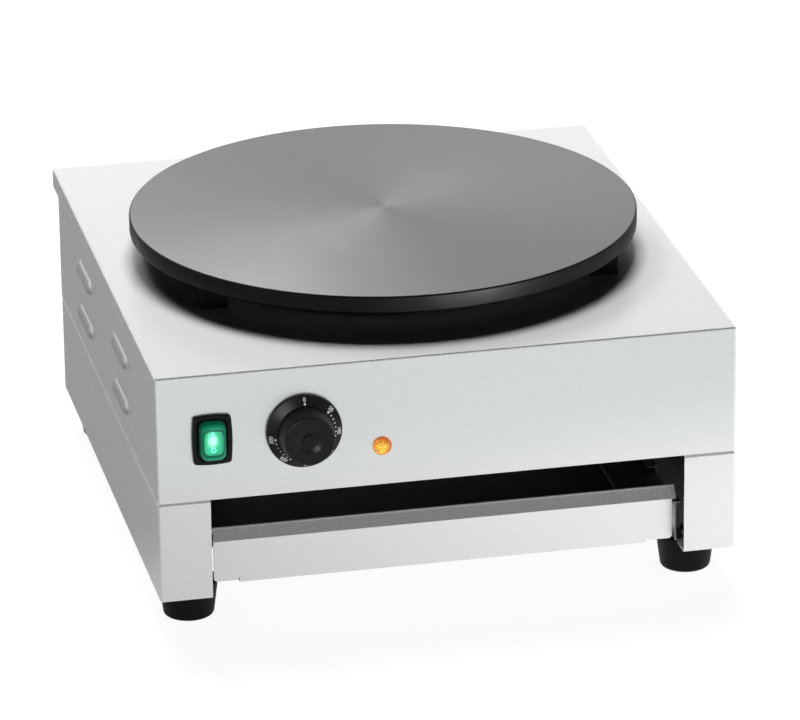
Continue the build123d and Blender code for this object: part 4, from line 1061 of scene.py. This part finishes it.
class CREPE_OT_knob(bpy.types.Operator):
    """Makes the thermostat knob with its skirt, grip, dished face and dial"""
    bl_idname = "crepe.knob"
    bl_label = "Knob"

    def execute(self, context):
        centre, skirt, (front, back) = round_box("knob", 1)
        reach = back - front
        origin = Vector((centre.x, back, centre.z))
        grip, face, dish, cap = 21.4 * MM, 19.2 * MM, 10.2 * MM, 5.0 * MM
        edge, shoulder, dish_depth = 2.4 * MM, 6.5 * MM, 2.0 * MM
        corners = [
            (0, 0, 0),
            (skirt, 0, 0.4 * MM),
            (skirt, edge, 0.7 * MM),
            (grip + 0.4 * MM, shoulder, 0.7 * MM),
            (face, reach, 1.5 * MM),
            (dish, reach, 0.7 * MM),
            (cap + 1.6 * MM, reach - dish_depth, 1.6 * MM),
            (0, reach - dish_depth, 0)]
        mesh = lathe(rounded_profile(corners), origin, (0, -1, 0), 128)
        made = piece("dial_knob", mesh, "knob", "black_knob", ["knob"])
        bpy.data.collections["skirt_lamp"].objects.link(made)
        self.make_dial(made, centre)
        return {"FINISHED"}

    def make_dial(self, made, centre):
        """Numbers and dots, printed on the knob's skirt."""
        knob = settings("knob")
        ink = print_ink("dial_print", knob.print_tint)
        surface = surface_of(made)
        thick = 0.06 * MM
        span = (knob.last_angle - knob.first_angle) / 5      # from 50 to 300 in five steps
        turns = [0.0] + [knob.first_angle + span * step for step in range(6)]

        def on_ring(step, flat):
            radius = knob.numeral_ring + flat.y
            turn = turns[step] + flat.x / radius
            return centre.x + radius * sin(turn), centre.z + radius * cos(turn)

        numbers = [text_mesh(str(50 * step), knob.numeral_size, thick, stroke=0.11 * MM)
                   for step in range(7)]
        print_on(surface, "dial_numbers", numbers, on_ring, thick / 4, ink, "knob", "black_knob")
        small = {"Count": knob.dot_count, "Ring": knob.dot_ring, "Dot": knob.dot_radius,
                 "First": knob.first_angle, "Last": knob.last_angle, "Depth": thick}
        rows = [small] + [dict(small, Count=1, Dot=1.6 * knob.dot_radius, First=turn)
                          for turn in (0.0, knob.first_angle, knob.last_angle)]
        tree = dots_tree(ink)
        dots = [grown("dots", bpy.data.meshes.new("dots"), tree, values) for values in rows]
        print_on(surface, "dial_dots", dots,
                 lambda _, flat: (centre.x + flat.x, centre.z + flat.y), thick / 4, ink,
                 "knob", "black_knob")


class CREPE_OT_switch(bpy.types.Operator):
    """Makes the switch's bezel, its clear cover and the marks on the rocker"""
    bl_idname = "crepe.switch"
    bl_label = "Switch"

    def execute(self, context):
        switch = settings("switch")
        low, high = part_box("switch_housing")
        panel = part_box("upper_casing")[0].y
        centre = (low + high) / 2
        self.make_bezel(switch.waist, centre, high - low, panel - low.y, high.y - panel, panel)
        low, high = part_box("switch_cover")
        self.make_cover(centre, high.x - low.x - 1.0 * MM, high.z - low.z, panel - low.y, panel)
        self.make_marks(switch, centre)
        return {"FINISHED"}

    def make_bezel(self, waist, centre, size, reach, depth, panel):
        """The frame round the cover, its long sides bowed, and the body behind the panel."""
        corner, inner_corner, frame_x, frame_z = 1.8 * MM, 4.6 * MM, 5.0 * MM, 3.8 * MM
        floor, well_depth = 1.8 * MM, 9.0 * MM
        rows = [(size.x - 2 * (inset + waist), size.z - 2 * inset, corner, waist, out)
                for inset, out in ((0.0, 0.0), (0.0, reach - 1.2 * MM),
                                   (0.2 * MM, reach - 0.5 * MM), (0.7 * MM, reach - 0.1 * MM),
                                   (1.3 * MM, reach))]
        rows += [(size.x - 2 * frame_x * part, size.z - 2 * frame_z * part,
                  inner_corner * part, 0.0, out)
                 for part, out in ((0.62, reach - 0.1 * MM), (0.9, reach - 0.9 * MM),
                                   (1.0, floor), (1.25, floor))]
        rows += [(14.8 * MM, 24.6 * MM, 1.0 * MM, 0.0, out) for out in (floor, -well_depth)]
        well, middle, body = (14.7 * MM, 24.5 * MM), (1.0 * MM, 1.0 * MM), (21.8 * MM, 29.8 * MM)
        rows += [(*sides, 0.4 * MM, 0.0, out)
                 for sides, out in ((well, -well_depth - 0.2 * MM),
                                    (middle, -well_depth - 0.2 * MM),
                                    (middle, -depth), (body, -depth), (body, 0.0))]
        piece("switch_bezel", stacked(rows, centre, panel), "housing", "black_plastic",
              ["switch_housing"])

    def make_cover(self, centre, width, height, reach, panel):
        """A clear shell with soft shoulders, hollow inside."""
        wall, floor, corner, inner_corner = 0.9 * MM, 2.0 * MM, 5.2 * MM, 4.3 * MM
        outer = [(0.0, floor), (0.15 * MM, reach - 3.2 * MM), (0.6 * MM, reach - 1.9 * MM),
                 (1.5 * MM, reach - 0.8 * MM), (2.9 * MM, reach - 0.15 * MM),
                 (4.4 * MM, reach)]
        rows = [(width - 2 * inset, height - 2 * inset, corner, 0.0, out)
                for inset, out in outer]
        rows += [(width - 2 * inset - 2 * wall, height - 2 * inset - 2 * wall, inner_corner, 0.0,
                  out - wall) for inset, out in reversed(outer[1:])]
        rows.append((width - 2 * wall, height - 2 * wall, inner_corner, 0.0, floor))
        mesh = stacked(rows, centre, panel)
        self.fill_middle(mesh, len(outer) - 1, len(mesh.verts) // len(rows))
        piece("splash_cover", mesh, "housing", "green_cover", ["switch_cover"], smooth=60.0)

    def fill_middle(self, mesh, last_outer, count):
        """Closes the shell's front: the band between outer and inner skin becomes two faces."""
        mesh.verts.ensure_lookup_table()
        outer = mesh.verts[last_outer * count:(last_outer + 1) * count]
        inner = mesh.verts[(last_outer + 1) * count:(last_outer + 2) * count]
        between = [face for face in mesh.faces
                   if all(vertex in outer or vertex in inner for vertex in face.verts)
                   and any(vertex in outer for vertex in face.verts)
                   and any(vertex in inner for vertex in face.verts)]
        bmesh.ops.delete(mesh, geom=between, context="FACES_ONLY")
        mesh.faces.new(outer)
        mesh.faces.new(inner)
        bmesh.ops.recalc_face_normals(mesh, faces=mesh.faces)

    def make_marks(self, switch, centre):
        """The on and off marks, printed on the rocker."""
        ink = print_ink("rocker_print", (0.92, 1.0, 0.96), switch.mark_glow)
        feet = (4.4 * MM, -8.4 * MM)
        marks = [text_mesh(words, size=5.2 * MM, depth=0.06 * MM, stroke=0.1 * MM)
                 for words in ("I", "O")]
        print_on(surface_of(frame["nodes"]["rocker"]), "rocker_marks", marks,
                 lambda step, flat: (centre.x + flat.x, centre.z + feet[step] + flat.y),
                 0.02 * MM, ink, "rocker", "green_rocker")


class CREPE_OT_lamp(bpy.types.Operator):
    """Makes the pilot lamp's rim and its faceted lens"""
    bl_idname = "crepe.lamp"
    bl_label = "Pilot lamp"

    def execute(self, context):
        lamp = settings("lamp")
        centre, radius, (front, back) = round_box("lamp_lens", 1)
        reach = back - front
        origin = Vector((centre.x, back, centre.z))
        corners = [(0, 0, 0), (radius, 0, 0.2 * MM), (radius, 1.7 * MM, 0.6 * MM),
                   (radius - 1.3 * MM, 1.9 * MM, 0.3 * MM), (0, 1.9 * MM, 0)]
        piece("lamp_rim", lathe(rounded_profile(corners), origin, (0, -1, 0), 64), "housing",
              "amber_lens")
        facets = lathe([(0, 0.5 * MM), (radius - 1.4 * MM, 0.5 * MM),
                        (radius - 1.4 * MM, 2.4 * MM), (0.66 * radius, 0.8 * reach),
                        (0.36 * radius, 0.95 * reach), (0, reach)],
                       origin, (0, -1, 0), lamp.facets)
        bmesh.ops.triangulate(facets, faces=facets.faces)
        piece("lamp_lens_facets", facets, "housing", "amber_lens", ["lamp_lens"], smooth=0)
        return {"FINISHED"}


class CREPE_OT_fasteners(bpy.types.Operator):
    """Makes the cross-head screws of the rear panels"""
    bl_idname = "crepe.fasteners"
    bl_label = "Fasteners"

    def execute(self, context):
        boxes = solid_boxes("rear_screws")
        low, high = boxes[0]
        radius = (high.x - low.x) / 2
        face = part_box("base_side_left")[1].y
        head = high.y - face
        corners = [(0, 0, 0), (radius, 0, 0.15 * MM), (radius, 0.45 * head, 0.7 * head),
                   (0.45 * radius, head, 0), (0, head, 0)]
        shape = lathe(rounded_profile(corners), (0, 0, 0), (0, 1, 0), 40)
        spots = [((low.x + high.x) / 2, face, (low.z + high.z) / 2) for low, high in boxes]
        mesh = copied("rear_screw_heads", self.cross_cut(shape, radius, head), spots,
                      FINISHES["zinc_steel"])
        piece("rear_screw_heads", mesh, "housing", "zinc_steel", ["rear_screws"])
        return {"FINISHED"}

    def cross_cut(self, shape, radius, head):
        """The head with a cross recess cut into it."""
        whole = in_scene("head", mesh_from("head", shape))
        cutter = in_scene("cross", mesh_from("cross", self.cross(radius, head)))
        cut = whole.modifiers.new("cut", "BOOLEAN")
        cut.operation, cut.object = "DIFFERENCE", cutter
        made = bmesh.new()
        made.from_mesh(evaluated_mesh(whole))
        bpy.data.objects.remove(cutter)
        return made

    def cross(self, radius, head):
        """The cutter: two crossed wedges that narrow towards their bottom."""
        made = bmesh.new()
        arm, wall, bottom = 0.58 * radius, 0.12 * radius, 0.25 * head
        for turn in (0.0, pi / 2):
            verts = bmesh.ops.create_cube(made, size=2.0)["verts"]
            for vertex in verts:
                x, y, z = vertex.co
                narrow = 1.0 if y > 0 else 0.6
                long_side, short_side = x * arm * narrow, z * wall * narrow
                height = 1.3 * head if y > 0 else bottom
                vertex.co = (long_side * cos(turn) - short_side * sin(turn), height,
                             long_side * sin(turn) + short_side * cos(turn))
        return made


OPERATORS = (CREPE_OT_stage, CREPE_OT_finishes, CREPE_OT_hot_plate, CREPE_OT_knob,
             CREPE_OT_switch, CREPE_OT_lamp, CREPE_OT_fasteners)


class CREPE_PT_panel(bpy.types.Panel):
    """Lists the settings and the steps that make the crepe maker"""
    bl_idname = "CREPE_PT_panel"
    bl_label = "Crepe maker"
    bl_space_type = "VIEW_3D"
    bl_region_type = "UI"
    bl_category = "Crepe maker"

    def draw(self, context):
        for part, group in SETTINGS.items():
            box = self.layout.box()
            box.label(text=group.__doc__)
            for name in group.__annotations__:
                box.prop(settings(part), name)
        for operator in OPERATORS:
            self.layout.operator(operator.bl_idname)


CLASSES = (*SETTINGS.values(), *OPERATORS, CREPE_PT_panel)


def register():
    for made in CLASSES:
        bpy.utils.register_class(made)
    for part, group in SETTINGS.items():
        setattr(bpy.types.Scene, "crepe_" + part, PointerProperty(type=group))


def unregister():
    for part in SETTINGS:
        delattr(bpy.types.Scene, "crepe_" + part)
    for made in reversed(CLASSES):
        bpy.utils.unregister_class(made)


def main():
    register()
    for operator in OPERATORS:
        group, name = operator.bl_idname.split(".")
        getattr(getattr(bpy.ops, group), name)()


if __name__ == "__main__":
    main()
